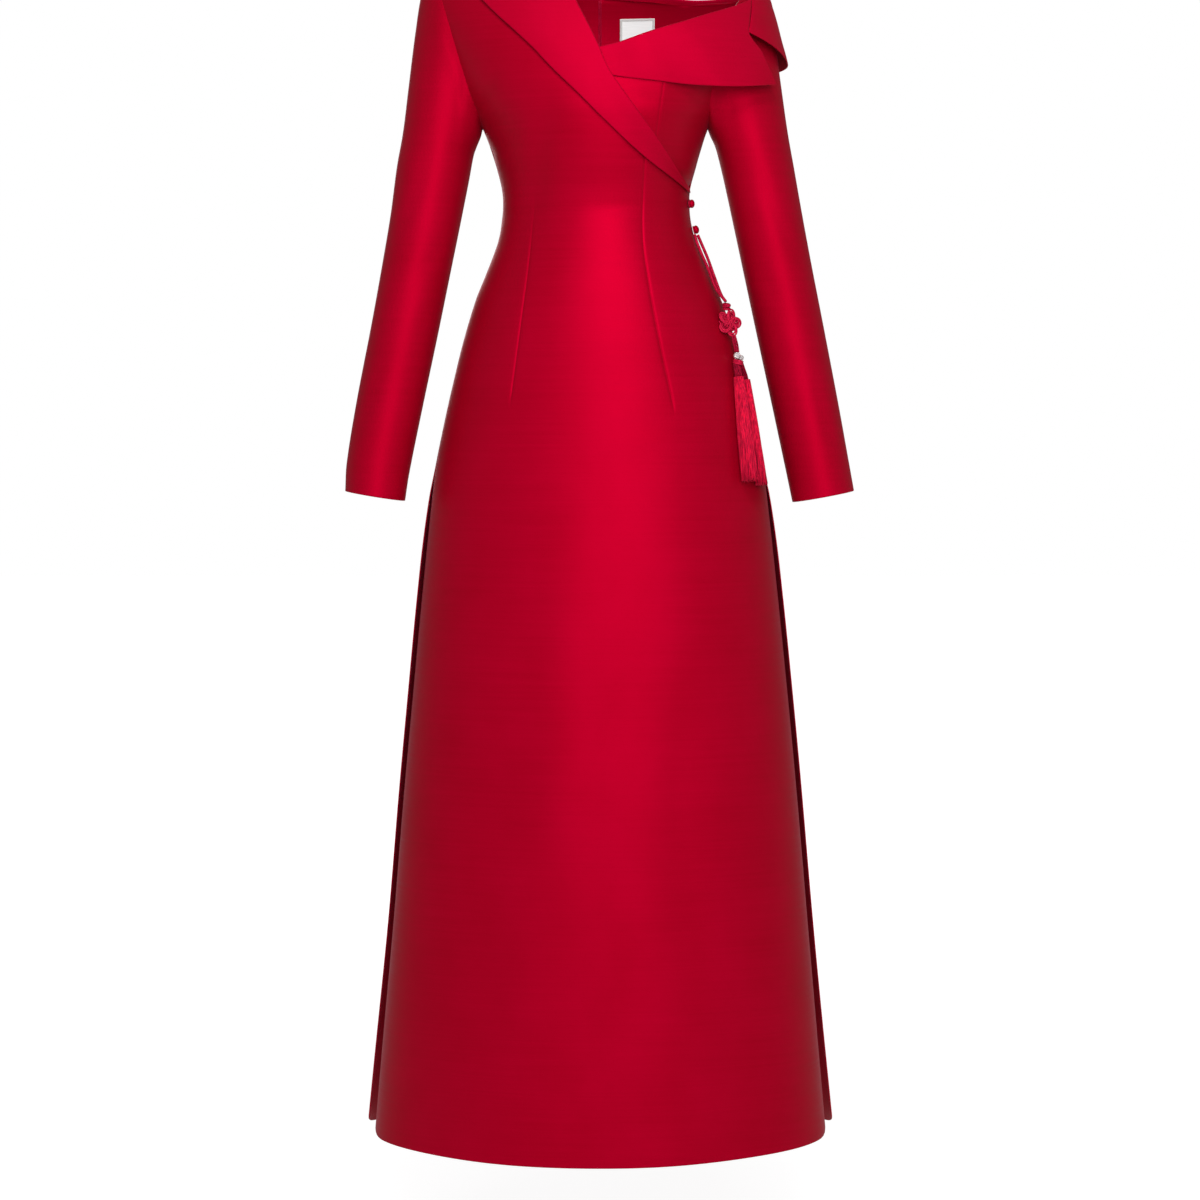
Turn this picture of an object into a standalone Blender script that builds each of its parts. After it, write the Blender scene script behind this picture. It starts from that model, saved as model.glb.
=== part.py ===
"""Ao dai tunic: a hollow, worn-form wrap tunic with long front and back panels.

X runs to the wearer's left, Y to the wearer's back and Z up. The origin lies between the
shoulders, where the wearer carries the garment. Sizes are in millimetres until a mesh is made.
"""
import math

import bmesh
import bpy
from mathutils import Vector

MM = 0.001
CLOTH = 1.5
SEAM = 0.3
BACK_SEAM_TURN = 0.0006
TIP_WIDTH = 4.0
FRONT = -1
BACK = 1

# Heights. Below the chest line a level is a plain drop, above it the arc over the shoulder.
CHEST_Z = -130.0
ARC = 235.0
ARMPIT = -74.0
WRAP_END = -146.0
SLIT_TOP = -470.0
SLIT_HALF = 14.0
FRONT_COLUMNS = 15
BACK_COLUMNS = 8
UNDER_COLUMNS = 12
HEM_SIDE_Z = -1395.4
HEM_DROP = 12.5
HEM_CORNER = 38.0
HEM_CORNER_RISE = 14.0
LAST_LEVEL = -1200.0
HIP_LEVEL = -490.0
SKIRT_ROWS = 7
HIP_ROWS = 11
# Shares of the way from the last full row to the hem.
HEM_SHARES = (1.0, 0.88, 0.55)
OVAL = 2.1
HULL_OVAL = 2.0

# Half widths and depths of the body and the skirt at each level.
# level, right, left, front, back
BODY = [
    (-1290.0, 271.5, 272.5, 131.0, 141.0),
    (-1158.0, 259.7, 260.4, 129.0, 137.0),
    (-1013.0, 246.3, 247.7, 127.0, 133.0),
    (-869.0, 234.3, 235.3, 125.0, 129.0),
    (-749.0, 223.2, 224.0, 122.0, 125.0),
    (-629.0, 211.8, 211.8, 119.0, 121.0),
    (-510.0, 199.4, 198.6, 115.0, 117.0),
    (-463.0, 193.4, 191.9, 113.0, 116.0),
    (-415.0, 183.8, 182.6, 111.0, 115.0),
    (-368.0, 173.0, 171.8, 109.0, 114.0),
    (-321.0, 161.2, 159.8, 107.0, 112.5),
    (-274.0, 146.9, 143.3, 104.0, 107.0),
    (-250.0, 137.2, 132.6, 102.0, 103.0),
    (-226.0, 127.6, 121.9, 100.0, 97.0),
    (-203.0, 119.6, 112.4, 98.5, 91.0),
    (-180.0, 115.8, 107.0, 97.5, 87.0),
    (-162.0, 114.4, 105.6, 98.5, 85.0),
    (-144.0, 115.8, 106.4, 101.5, 86.0),
    (-121.0, 121.4, 112.4, 107.0, 88.5),
    (-97.0, 128.8, 119.2, 112.0, 92.0),
    (-74.0, 138.0, 127.0, 116.0, 96.0),
    (-55.0, 149.5, 138.0, 118.0, 98.0),
    (-20.0, 169.0, 152.0, 117.5, 100.0),
    (42.0, 190.0, 174.0, 113.0, 100.0),
    (105.0, 205.0, 193.0, 112.0, 100.0),
    (235.0, 216.0, 206.0, 112.0, 100.0),
]

# How much wider than the front the back panel hangs, so that its edge shows.
# level, extra
BACK_EXTRA = [(-1290.0, 11.5), (-1231.0, 10.8), (-1013.0, 8.0), (-749.0, 7.0), (-581.0, 6.2),
              (-510.0, 4.0), (-470.0, 0.8), (-430.0, 0.0)]

# Height of the ridge of the shoulders across the garment.
# x, z
SHOULDER = [(-225.0, -32.0), (-195.0, -20.0), (-130.0, 1.0), (-64.6, 20.0), (-30.0, 30.0), (0.0, 33.0),
            (30.0, 29.0), (55.0, 20.0), (120.0, -12.0), (186.0, -45.0), (215.0, -60.0)]

# Fold line and outer edge of the lapel, from the wrap's end up to the shoulder seam.
# level, x
FOLD = [(-146.0, 106.5), (-132.0, 94.0), (-93.5, 65.9), (-20.7, 12.5), (10.3, -2.1), (62.6, -28.5),
        (108.0, -46.0), (170.0, -58.0), (235.0, -64.6)]
# share of the lapel's length, level, x
LAPEL_EDGE = [(0.0, -149.5, 103.0), (0.16, -113.0, 50.0), (0.36, -67.4, 0.0), (0.46, -44.8, -22.8),
              (0.66, 2.0, -68.7), (0.82, 83.4, -135.0), (0.93, 180.0, -166.0), (1.0, 235.0, -174.0)]

# Back neckline, from the wearer's right neck point to the tip of the left shoulder.
# x, level
NECKLINE = [(-64.6, 235.0), (-60.0, 162.0), (-50.0, 134.0), (-30.0, 111.0), (-12.0, 96.0), (0.0, 91.0),
            (48.0, 91.0), (100.0, 103.0), (140.0, 123.0), (165.0, 152.0), (180.0, 190.0), (186.0, 235.0)]
NECK_LOW = 91.0

# Upper and lower edge of the folded band over the bust.
# x, z
BAND_TOP = [(-30.0, -128.0), (1.0, -120.5), (25.0, -115.0), (59.0, -103.0), (115.0, -84.0),
            (176.0, -58.0), (188.0, -37.0)]
BAND_LOW = [(-30.0, -144.0), (13.7, -152.2), (65.6, -158.2), (115.0, -162.0), (161.5, -161.5),
            (206.8, -156.0)]
# share of the band's height, x
BAND_START = [(0.0, -12.0), (1.0, -1.0)]
BAND_END = [(0.0, 175.5), (0.34, 171.5), (0.4, 172.0), (1.0, 205.0)]

# Form that the folded collar follows round the bare shoulder.
# z, left, front, back
HULL = [(-165.0, 227.0, 119.0, 112.0), (-128.0, 221.5, 119.0, 110.0), (-99.0, 213.6, 116.0, 106.0),
        (-76.0, 207.6, 108.0, 99.0), (-53.0, 200.0, 92.0, 88.0), (-43.0, 194.5, 80.0, 81.0),
        (-37.0, 190.0, 71.0, 77.0), (-30.0, 183.0, 60.0, 70.0)]

# Collar across the back, from the right shoulder seam: places on the body.
# top x, top z, low x, low z
COLLAR_BODY = [(-64.6, 20.0, -174.0, -13.6), (-61.0, 6.0, -166.0, -60.0), (-50.0, -6.0, -138.0, -98.0),
               (-28.0, -18.5, -88.0, -121.0), (3.0, -28.0, -28.0, -131.0), (45.0, -38.0, 45.0, -138.0),
               (85.0, -43.0, 98.0, -142.0), (120.0, -46.5, 140.0, -143.0)]
# Collar round the left shoulder to the notch: places on the hull, turned from the side.
# top turn, top z, low turn, low z
COLLAR_HULL = [(34.0, -45.5, 35.0, -139.0), (18.0, -41.5, 18.0, -133.0), (0.0, -37.5, -2.0, -127.5),
               (-15.0, -44.0, -19.0, -113.0), (-28.6, -57.0, -36.0, -98.0)]
NOTCH_GAP = 1.2
COLLAR_SEAM = 234.2
BLEND = 30.0

# Lift of the folded layers above the cloth under them.
LIFT_FOLD = 2.8
LIFT_EDGE = 5.0
BAND_LIFT = 3.4
TUCK_BAND = 2.9
TUCK_UNDER = 5.4
TUCK_LOW = 3.2
UNDER_WIDTH = 30.0
UNDER_TOP = 170.0
# Levels beside the wrap's end, where the fold line turns away from the side seam.
WRAP_LEVELS = (-143.0, -138.0, -131.0, -120.0, -98.0)

# Armholes: lowest point, top and bow of the seam.
# side, low x, top x, top z, bow
ARMHOLE = {"right": (-138.0, -195.0, -20.0, -2.0), "left": (127.0, 186.0, -45.0, -17.0)}

# Sleeves: under-arm line, over-arm line, half depth, drift to the front, share of armhole form.
# under x, under z, over x, over z, half depth, y, armhole
SLEEVE = {
    "right": [
        (-138.0, -204.0, -195.0, -20.0, 56.0, 0.0, 1.0),
        (-139.0, -208.0, -203.5, -32.0, 55.0, 0.0, 0.9),
        (-140.0, -212.0, -210.0, -52.0, 54.0, 0.0, 0.72),
        (-142.0, -217.0, -217.0, -92.0, 52.0, 0.0, 0.5),
        (-145.0, -224.0, -224.0, -146.0, 50.0, 0.0, 0.26),
        (-149.0, -236.0, -231.5, -205.0, 48.5, 0.0, 0.1),
        (-154.0, -263.0, -239.0, -247.0, 47.0, -1.0, 0.0),
        (-165.0, -318.0, -246.5, -303.0, 45.5, -3.0, 0.0),
        (-176.5, -374.0, -256.0, -359.0, 44.0, -5.0, 0.0),
        (-190.8, -444.0, -268.6, -429.0, 43.0, -9.0, 0.0),
        (-211.0, -540.0, -287.3, -526.0, 41.0, -15.0, 0.0),
        (-225.0, -610.0, -298.5, -597.0, 39.5, -21.0, 0.0),
        (-229.5, -640.0, -300.0, -628.5, 38.5, -24.0, 0.0),
    ],
    "left": [
        (127.0, -204.0, 186.0, -45.0, 52.0, 0.0, 1.0),
        (128.5, -208.0, 193.0, -56.0, 51.0, 0.0, 0.9),
        (130.0, -212.0, 199.5, -74.0, 50.0, 0.0, 0.72),
        (132.5, -217.0, 206.0, -104.0, 49.0, 0.0, 0.5),
        (135.5, -224.0, 212.5, -150.0, 48.0, 0.0, 0.26),
        (139.0, -236.0, 220.5, -205.0, 47.5, 0.0, 0.1),
        (145.5, -263.0, 228.0, -247.0, 47.0, -1.0, 0.0),
        (157.5, -318.0, 238.0, -303.0, 45.5, -3.0, 0.0),
        (169.5, -374.0, 248.5, -359.0, 44.0, -5.0, 0.0),
        (184.5, -444.0, 262.2, -429.0, 43.0, -9.0, 0.0),
        (205.2, -540.0, 280.8, -526.0, 41.0, -15.0, 0.0),
        (220.0, -610.0, 293.5, -597.0, 39.5, -21.0, 0.0),
        (226.5, -641.5, 299.0, -628.0, 38.5, -24.0, 0.0),
    ],
}
# Levels of the seam's points, shared by the body's rows and the sleeves.
ARM_LEVELS = (-74.0, -66.0, -46.0, -14.0, 26.0, 62.0, 91.0, 103.0, 122.0, 148.0, 180.0, 210.0, 229.0, 235.0)

# Ornament on the wearer's left hip.
BUTTON_ACROSS = 10.0
BUTTON_THICK = 6.8
# z, turn round the body in degrees, gap to the cloth
BUTTONS = {"button_top": (-292.3, 168.0, 0.95), "button_low": (-323.0, 172.0, 1.3)}
CORD_RADIUS = 1.8
STRAND_RADIUS = 0.8
# x, y, z
CORD_OUTER = [(115.0, -17.6, -328.6), (119.3, -21.0, -339.0), (126.0, -27.0, -355.4),
              (134.2, -33.5, -378.8), (142.0, -41.0, -400.0), (147.2, -43.6, -407.6)]
CORD_INNER = [(111.0, -24.6, -328.4), (113.6, -27.5, -337.3), (119.4, -33.0, -352.4),
              (127.0, -38.2, -369.9), (135.6, -43.0, -392.1), (146.6, -47.6, -407.1)]
CORD_STEPS = 26
KNOT_TOP = (147.8, -45.8, -412.9)
KNOT_TOP_RADIUS = 5.0
FLOWER = (151.4, -47.0, -431.9)
FLOWER_FACES = (0.42, -0.9, 0.1)
FLOWER_TUBE = 1.25
FLOWER_MEAN = 7.9
FLOWER_SWING = 5.4
FLOWER_DEPTH = 1.6
FLOWER_TALL = 1.12
FLOWER_PETALS = 5
FLOWER_POINTS = 60
BEAD = (160.2, -47.5, -470.6)
BEAD_RADIUS = 4.2
BEAD_SIDE_RADIUS = 3.4
RING_RADIUS = 6.4
RING_HALF_HEIGHT = 2.6
# top x, top z, foot x, foot z, top radius, foot radius
TASSEL = {"tassel_front": (161.8, -495.3, 174.5, -616.8, 6.3, 10.5),
          "tassel_side": (171.8, -498.4, 189.5, -622.1, 4.8, 7.5)}
TASSEL_OFF = 1.1
TASSEL_HEAD = 5.0
STRAND_CELLS = 6
# Rings of a tassel's rounded head: share of its width, distance below its top.
TASSEL_CROWN = ((1.0, 1.6), (0.82, 0.4), (0.45, 0.0))

# Blank woven label on the inside of the left back.
LABEL_X = (24.7, 66.2)
LABEL_Z = (-97.0, -62.7)
LABEL_THICK = 1.0
LABEL_OFF = 1.2

CRIMSON = (0.46, 0.0, 0.022)
CRIMSON_CORD = (0.52, 0.004, 0.04)
WHITE = (0.8, 0.8, 0.8)
CLEAR = (0.85, 0.82, 0.8)


def curve_at(points, t):
    """Value at t of a smooth curve through rising (t, value) pairs."""
    if t <= points[0][0]:
        return points[0][1]
    if t >= points[-1][0]:
        return points[-1][1]
    i = 0
    while points[i + 1][0] < t:
        i += 1
    (t0, v0), (t1, v1) = points[i], points[i + 1]
    before = points[max(i - 1, 0)]
    after = points[min(i + 2, len(points) - 1)]
    span = t1 - t0
    s0 = (v1 - before[1]) / (t1 - before[0]) * span
    s1 = (after[1] - v0) / (after[0] - t0) * span
    u = (t - t0) / span
    return (v0 * (2 * u**3 - 3 * u**2 + 1) + s0 * (u**3 - 2 * u**2 + u)
            + v1 * (3 * u**2 - 2 * u**3) + s1 * (u**3 - u**2))


def column(table, index):
    return [(row[0], row[index]) for row in table]


def ease(low, high, value):
    """0 below low, 1 above high, smooth between."""
    u = min(1.0, max(0.0, (value - low) / (high - low)))
    return u * u * (3.0 - 2.0 * u)


def mix(a, b, share):
    return a + (b - a) * share


BODY_RIGHT = column(BODY, 1)
BODY_LEFT = column(BODY, 2)
BODY_FRONT = column(BODY, 3)
BODY_BACK = column(BODY, 4)
HULL_LEFT = column(HULL, 1)
HULL_FRONT = column(HULL, 2)
HULL_BACK = column(HULL, 3)


def height_at(x, level):
    """Height of a level at x: plain below the chest line, over the shoulder's arc above it."""
    if level <= 0.0:
        return CHEST_Z + level
    rise = math.sin(level / ARC * math.pi / 2)
    return CHEST_Z + (curve_at(SHOULDER, x) - CHEST_Z) * rise


def level_at(x, z):
    """The level whose height at x is z."""
    if z <= CHEST_Z:
        return z - CHEST_Z
    rise = (z - CHEST_Z) / (curve_at(SHOULDER, x) - CHEST_Z)
    return ARC * math.asin(min(1.0, rise)) * 2 / math.pi


def closing(level):
    """How far the depth has closed towards the ridge of the shoulder."""
    return 1.0 if level <= 0.0 else math.cos(level / ARC * math.pi / 2)


def half_width(x_sign, level, side):
    half = curve_at(BODY_LEFT if x_sign > 0 else BODY_RIGHT, level)
    return half + (curve_at(BACK_EXTRA, level) if side == BACK else 0.0)


def flute(turn, level):
    """Soft upright flutes of the long panels, deepest at the hem."""
    depth = 5.0 * ease(-430.0, -1250.0, level)
    return depth * (math.cos(4.0 * turn + 0.5) * 0.7 + math.cos(7.0 * turn - 0.8) * 0.3) * math.sin(turn)


def body_point(side, turn, level):
    """Point of the cloth's outer face; turn runs from the wearer's right seam, 0, to the left, pi."""
    across = -math.cos(turn)
    power = 2.0 / OVAL
    x = math.copysign(abs(across) ** power, across) * half_width(across, level, side)
    depth = curve_at(BODY_FRONT if side == FRONT else BODY_BACK, level) + flute(turn, level)
    y = depth * closing(level) * max(0.0, math.sin(turn)) ** power
    y += SEAM / 2 + SLIT_HALF * ease(SLIT_TOP, BODY[0][0], level)
    return Vector((x, side * y, height_at(x, level)))


def turn_at(x, level, side):
    ratio = min(1.0, abs(x) / half_width(x, level, side)) ** (OVAL / 2.0)
    return math.acos(-math.copysign(ratio, x))


def body_normal(side, turn, level):
    """Outward direction of the body's face, from its own slopes."""
    low_turn = max(0.0, turn - 0.01)
    high_turn = min(math.pi, turn + 0.01)
    low_level = min(level, ARC - 1.0) - 1.0
    high_level = min(level + 1.0, ARC)
    around = body_point(side, high_turn, level) - body_point(side, low_turn, level)
    up = body_point(side, turn, high_level) - body_point(side, turn, low_level)
    return (around.cross(up) * -side).normalized()


def off_body(side, x, level, lift):
    """A point above the cloth at x and level, moved out by lift."""
    turn = turn_at(x, level, side)
    return body_point(side, turn, level) + body_normal(side, turn, level) * lift


def fold_x(level):
    return curve_at(FOLD, level)


def armhole_x(arm, level):
    """Across position of the armhole seam at a level."""
    low_x, top_x, top_z, bow = ARMHOLE[arm]
    low_z = CHEST_Z + ARMPIT
    if level <= 0.0:
        z = CHEST_Z + level
    else:
        z = CHEST_Z + (top_z - CHEST_Z) * math.sin(level / ARC * math.pi / 2)
    share = (z - low_z) / (top_z - low_z)
    return mix(low_x, top_x, share) + bow * 4.0 * share * (1.0 - share)


def side_levels():
    """Levels from the last full row of the skirt up to just below the armpit."""
    skirt = [mix(LAST_LEVEL, HIP_LEVEL, k / SKIRT_ROWS) for k in range(SKIRT_ROWS)]
    hip = [mix(HIP_LEVEL, WRAP_END, k / HIP_ROWS) for k in range(HIP_ROWS)]
    return skirt + hip + [WRAP_END] + list(WRAP_LEVELS)


def new_material(name, color, roughness):
    material = bpy.data.materials.new(name)
    material.use_nodes = True
    shader = material.node_tree.nodes["Principled BSDF"]
    shader.inputs["Base Color"].default_value = (*color, 1.0)
    shader.inputs["Roughness"].default_value = roughness
    shader.inputs["Metallic"].default_value = 0.0
    return material


def place(name, bm, color, roughness):
    """Turn a bmesh in millimetres into a named object in metres."""
    bmesh.ops.scale(bm, vec=(MM, MM, MM), verts=bm.verts)
    bmesh.ops.recalc_face_normals(bm, faces=bm.faces)
    mesh = bpy.data.meshes.new(name)
    bm.to_mesh(mesh)
    bm.free()
    mesh.shade_smooth()
    mesh.set_sharp_from_angle(angle=math.radians(40.0))
    item = bpy.data.objects.new(name, mesh)
    bpy.context.scene.collection.objects.link(item)
    mesh.materials.append(new_material(name, color, roughness))
    return item


def wall(name, outer, inner, closed=False, color=CRIMSON, roughness=0.45):
    """A closed cloth wall between two equal grids of points; closed rows run all round."""
    bm = bmesh.new()
    skins = [[[bm.verts.new(p) for p in row] for row in grid] for grid in (outer, inner)]
    rows = len(outer)
    columns = len(outer[0])
    spans = columns if closed else columns - 1
    for skin in skins:
        for i in range(rows - 1):
            for j in range(spans):
                k = (j + 1) % columns
                bm.faces.new((skin[i][j], skin[i][k], skin[i + 1][k], skin[i + 1][j]))
    top, under = skins
    for i in (0, rows - 1):
        for j in range(spans):
            k = (j + 1) % columns
            bm.faces.new((top[i][j], top[i][k], under[i][k], under[i][j]))
    if not closed:
        for j in (0, columns - 1):
            for i in range(rows - 1):
                bm.faces.new((top[i][j], top[i + 1][j], under[i + 1][j], under[i][j]))
    return place(name, bm, color, roughness)


def hem_level(turn):
    """Level of the hem: lowest at the middle, with a rounded corner at each slit."""
    across = abs(math.cos(turn))
    depth = BODY_FRONT[0][1] * math.sin(turn)
    short = min(1.0, max(0.0, 1.0 - depth / HEM_CORNER))
    corner = HEM_CORNER_RISE * (1.0 - math.sqrt(1.0 - short * short))
    sag = HEM_DROP * (1.0 - across * across)
    return HEM_SIDE_Z - CHEST_Z - sag + corner


def body_panel(name, side, levels, span, columns, offset=None):
    """A wall over the body between two turns at each level; a tuple is a row's share to the hem."""
    outer = []
    inner = []
    for level in levels:
        start, end = span(level)
        outer_row = []
        inner_row = []
        for j in range(columns + 1):
            turn = mix(start, end, j / columns)
            if isinstance(level, tuple):
                here = mix(LAST_LEVEL, hem_level(turn), level[0])
            else:
                here = level
            normal = body_normal(side, turn, here)
            point = body_point(side, turn, here)
            if offset:
                point = point - normal * offset(point.x, here)
            outer_row.append(point)
            inner_row.append(point - normal * CLOTH)
        outer.append(outer_row)
        inner.append(inner_row)
    return wall(name, outer, inner)


def panel_levels():
    """Rows of a whole panel, from the hem to the shoulder."""
    return [(share,) for share in HEM_SHARES] + side_levels() + list(ARM_LEVELS)


def make_front():
    def span(level):
        if isinstance(level, tuple):
            return 0.0, math.pi
        start = 0.0 if level <= ARMPIT else turn_at(armhole_x("right", level), level, FRONT)
        end = math.pi if level <= WRAP_END else turn_at(fold_x(level), level, FRONT)
        return start, end

    return body_panel("front", FRONT, panel_levels(), span, FRONT_COLUMNS)


def neck_x(level, near_right):
    """Across position where the back neckline crosses a level, on one of its two slopes."""
    low, high = (NECKLINE[0][0], 0.0) if near_right else (NECKLINE[-1][0], 48.0)
    for _ in range(40):
        middle = (low + high) / 2
        if curve_at(NECKLINE, middle) > level:
            low = middle
        else:
            high = middle
    return high


def make_back_right():
    def span(level):
        if isinstance(level, tuple):
            return 0.0, math.pi / 2 - BACK_SEAM_TURN
        start = 0.0 if level <= ARMPIT else turn_at(armhole_x("right", level), level, BACK)
        end_x = -SEAM / 2 if level <= NECK_LOW else neck_x(level, True)
        return start, turn_at(end_x, level, BACK)

    return body_panel("back_right", BACK, panel_levels(), span, BACK_COLUMNS)


def make_back_left():
    def span(level):
        if isinstance(level, tuple):
            return math.pi / 2 + BACK_SEAM_TURN, math.pi
        end_x = armhole_x("left", level)
        start_x = SEAM / 2 if level <= NECK_LOW else min(neck_x(level, False), end_x - TIP_WIDTH)
        return turn_at(start_x, level, BACK), math.pi if level <= ARMPIT else turn_at(end_x, level, BACK)

    return body_panel("back_left", BACK, panel_levels(), span, BACK_COLUMNS)


def tuck_under(x, level):
    """How deep the under-front lies below the front, level with it again away from the fold line."""
    deep = mix(TUCK_LOW, TUCK_UNDER, ease(-75.0, -45.0, level))
    ramp = mix(9.0, 62.0, ease(WRAP_END, -70.0, level))
    return deep * (1.0 - ease(4.0, ramp, x - fold_x(level)))


def band_top_x(level):
    """Across position where a level passes under the band's upper edge."""
    low, high = -60.0, 186.0
    for _ in range(40):
        middle = (low + high) / 2
        if height_at(middle, level) > curve_at(BAND_TOP, middle) - 4.0:
            low = middle
        else:
            high = middle
    return high


def make_front_under():
    def span(level):
        seam = math.pi if level <= ARMPIT else turn_at(armhole_x("left", level), level, FRONT)
        left_x = fold_x(level) - UNDER_WIDTH
        if level > 0.0:
            left_x = max(left_x, band_top_x(level))
        if level > ARMPIT:
            left_x = min(left_x, armhole_x("left", level) - 5.0)
        return turn_at(left_x, level, FRONT), seam

    levels = list(WRAP_LEVELS) + [level for level in ARM_LEVELS if level < UNDER_TOP]
    return body_panel("front_under", FRONT, levels, span, UNDER_COLUMNS, tuck_under)


def armhole_loop(arm):
    """Points of the armhole seam: up its front edge, then down its back edge."""
    front = [body_point(FRONT, turn_at(armhole_x(arm, v), v, FRONT), v) for v in ARM_LEVELS]
    back = [body_point(BACK, turn_at(armhole_x(arm, v), v, BACK), v) for v in ARM_LEVELS]
    for end in (0, -1):
        front[end].y = 0.0
    return front + back[-2:0:-1]


def sleeve_ring(row):
    """An oval ring of a sleeve, with a point for each point of the armhole."""
    under = Vector((row[0], 0.0, row[1]))
    over = Vector((row[2], 0.0, row[3]))
    shares = [(level - ARMPIT) / (ARC - ARMPIT) for level in ARM_LEVELS]
    front = []
    back = []
    for share in shares:
        depth = row[4] * 2.0 * math.sqrt(max(0.0, share * (1.0 - share)))
        middle = under.lerp(over, share)
        front.append(middle + Vector((0.0, row[5] - depth, 0.0)))
        back.append(middle + Vector((0.0, row[5] + depth, 0.0)))
    return front + back[-2:0:-1]


def grid_normals(grid, outward):
    """Normals of a grid whose rows run all round, pointing away from the row's middle."""
    normals = []
    for i, row in enumerate(grid):
        below = grid[max(i - 1, 0)]
        above = grid[min(i + 1, len(grid) - 1)]
        count = len(row)
        normals.append([])
        for j in range(count):
            around = row[(j + 1) % count] - row[j - 1]
            along = above[j] - below[j]
            normals[-1].append((around.cross(along) * outward).normalized())
    return normals


def make_sleeve(arm):
    sign = 1.0 if arm == "left" else -1.0
    table = SLEEVE[arm]
    loop = armhole_loop(arm)
    first = sleeve_ring(table[0])
    rings = []
    for row in table:
        ring = sleeve_ring(row)
        rings.append([p + (a - b) * row[6] + Vector((sign * 0.4, 0.0, 0.0))
                      for p, a, b in zip(ring, loop, first)])
    normals = grid_normals(rings, -sign)
    for normal in normals[0]:
        normal.x = sign * min(0.0, normal.x * sign)
        normal.normalize()
    inner = [[p - n * CLOTH for p, n in zip(row, ns)] for row, ns in zip(rings, normals)]
    return wall("sleeve_" + arm, rings, inner, closed=True)


def lapel_lift(share):
    """Height of the folded layer from the fold line, 0, to its free edge, 1."""
    return LIFT_FOLD + (LIFT_EDGE - LIFT_FOLD) * ease(0.2, 1.0, share)


def make_lapel():
    edge_level = [(row[0], row[1]) for row in LAPEL_EDGE]
    edge_x = [(row[0], row[2]) for row in LAPEL_EDGE]
    outer = []
    inner = []
    stations = 26
    across = 5
    for i in range(stations + 1):
        share = mix(i / stations, ease(0.0, 1.0, i / stations), 0.5)
        level = mix(-143.5, ARC, share ** 0.92)
        outer_row = []
        inner_row = []
        for j in range(across + 1):
            w = j / across
            here = mix(level, curve_at(edge_level, share), w)
            x = mix(fold_x(level), curve_at(edge_x, share), w)
            lift = lapel_lift(w)
            outer_row.append(off_body(FRONT, x, here, lift))
            inner_row.append(off_body(FRONT, x, here, lift - CLOTH))
        outer.append(outer_row)
        inner.append(inner_row)
    return wall("lapel", outer, inner)


def hull_point(turn, z):
    """Point of the collar's form; turn is 0 at the wearer's left, positive to the back."""
    power = 2.0 / HULL_OVAL
    x = curve_at(HULL_LEFT, z) * max(0.0, math.cos(turn)) ** power
    depth = curve_at(HULL_FRONT if turn < 0 else HULL_BACK, z)
    return Vector((x, math.copysign(depth * abs(math.sin(turn)) ** power, turn), z))


def clear_of_body(point, side, lift):
    """Move a point out so that it stays the lift away from the body's cloth."""
    level = level_at(point.x, point.z)
    if abs(point.x) >= half_width(point.x, level, side) - 0.5:
        return point
    body = abs(body_point(side, turn_at(point.x, level, side), level).y) + lift
    own = abs(point.y)
    depth = (body + own + math.sqrt((body - own) ** 2 + BLEND)) / 2.0
    return Vector((point.x, side * depth, point.z))


def hull_turn(x, z):
    return math.acos(min(1.0, x / curve_at(HULL_LEFT, z)))


def make_collar_band():
    outer = []
    columns = 14
    rows = 5
    for i in range(rows + 1):
        w = i / rows
        start = curve_at(BAND_START, w)
        end = curve_at(BAND_END, w) - NOTCH_GAP
        row = []
        for j in range(columns + 1):
            x = mix(start, end, j / columns)
            z = mix(curve_at(BAND_TOP, x), curve_at(BAND_LOW, x), w)
            level = level_at(x, z)
            away = x - fold_x(level)
            lift = mix(-TUCK_BAND, BAND_LIFT, ease(2.0, 62.0, away))
            free = ease(40.0, 95.0, away)
            near = off_body(FRONT, x, level, lift) if free < 1.0 else Vector()
            far = Vector()
            if free > 0.0:
                far = hull_point(-hull_turn(max(x, 1.0), z), z)
                far = clear_of_body(far, FRONT, BAND_LIFT)
            row.append(near.lerp(far, free))
        outer.append(row)
    return wall("collar_band", outer, under_grid(outer))


def under_grid(grid):
    """The inner face of an open grid, one cloth thickness below the outer one."""
    inner = []
    for i, row in enumerate(grid):
        below = grid[max(i - 1, 0)]
        above = grid[min(i + 1, len(grid) - 1)]
        inner.append([])
        for j, point in enumerate(row):
            around = row[min(j + 1, len(row) - 1)] - row[max(j - 1, 0)]
            normal = (above[j] - below[j]).cross(around).normalized()
            inner[-1].append(point - normal * CLOTH)
    return inner


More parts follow.
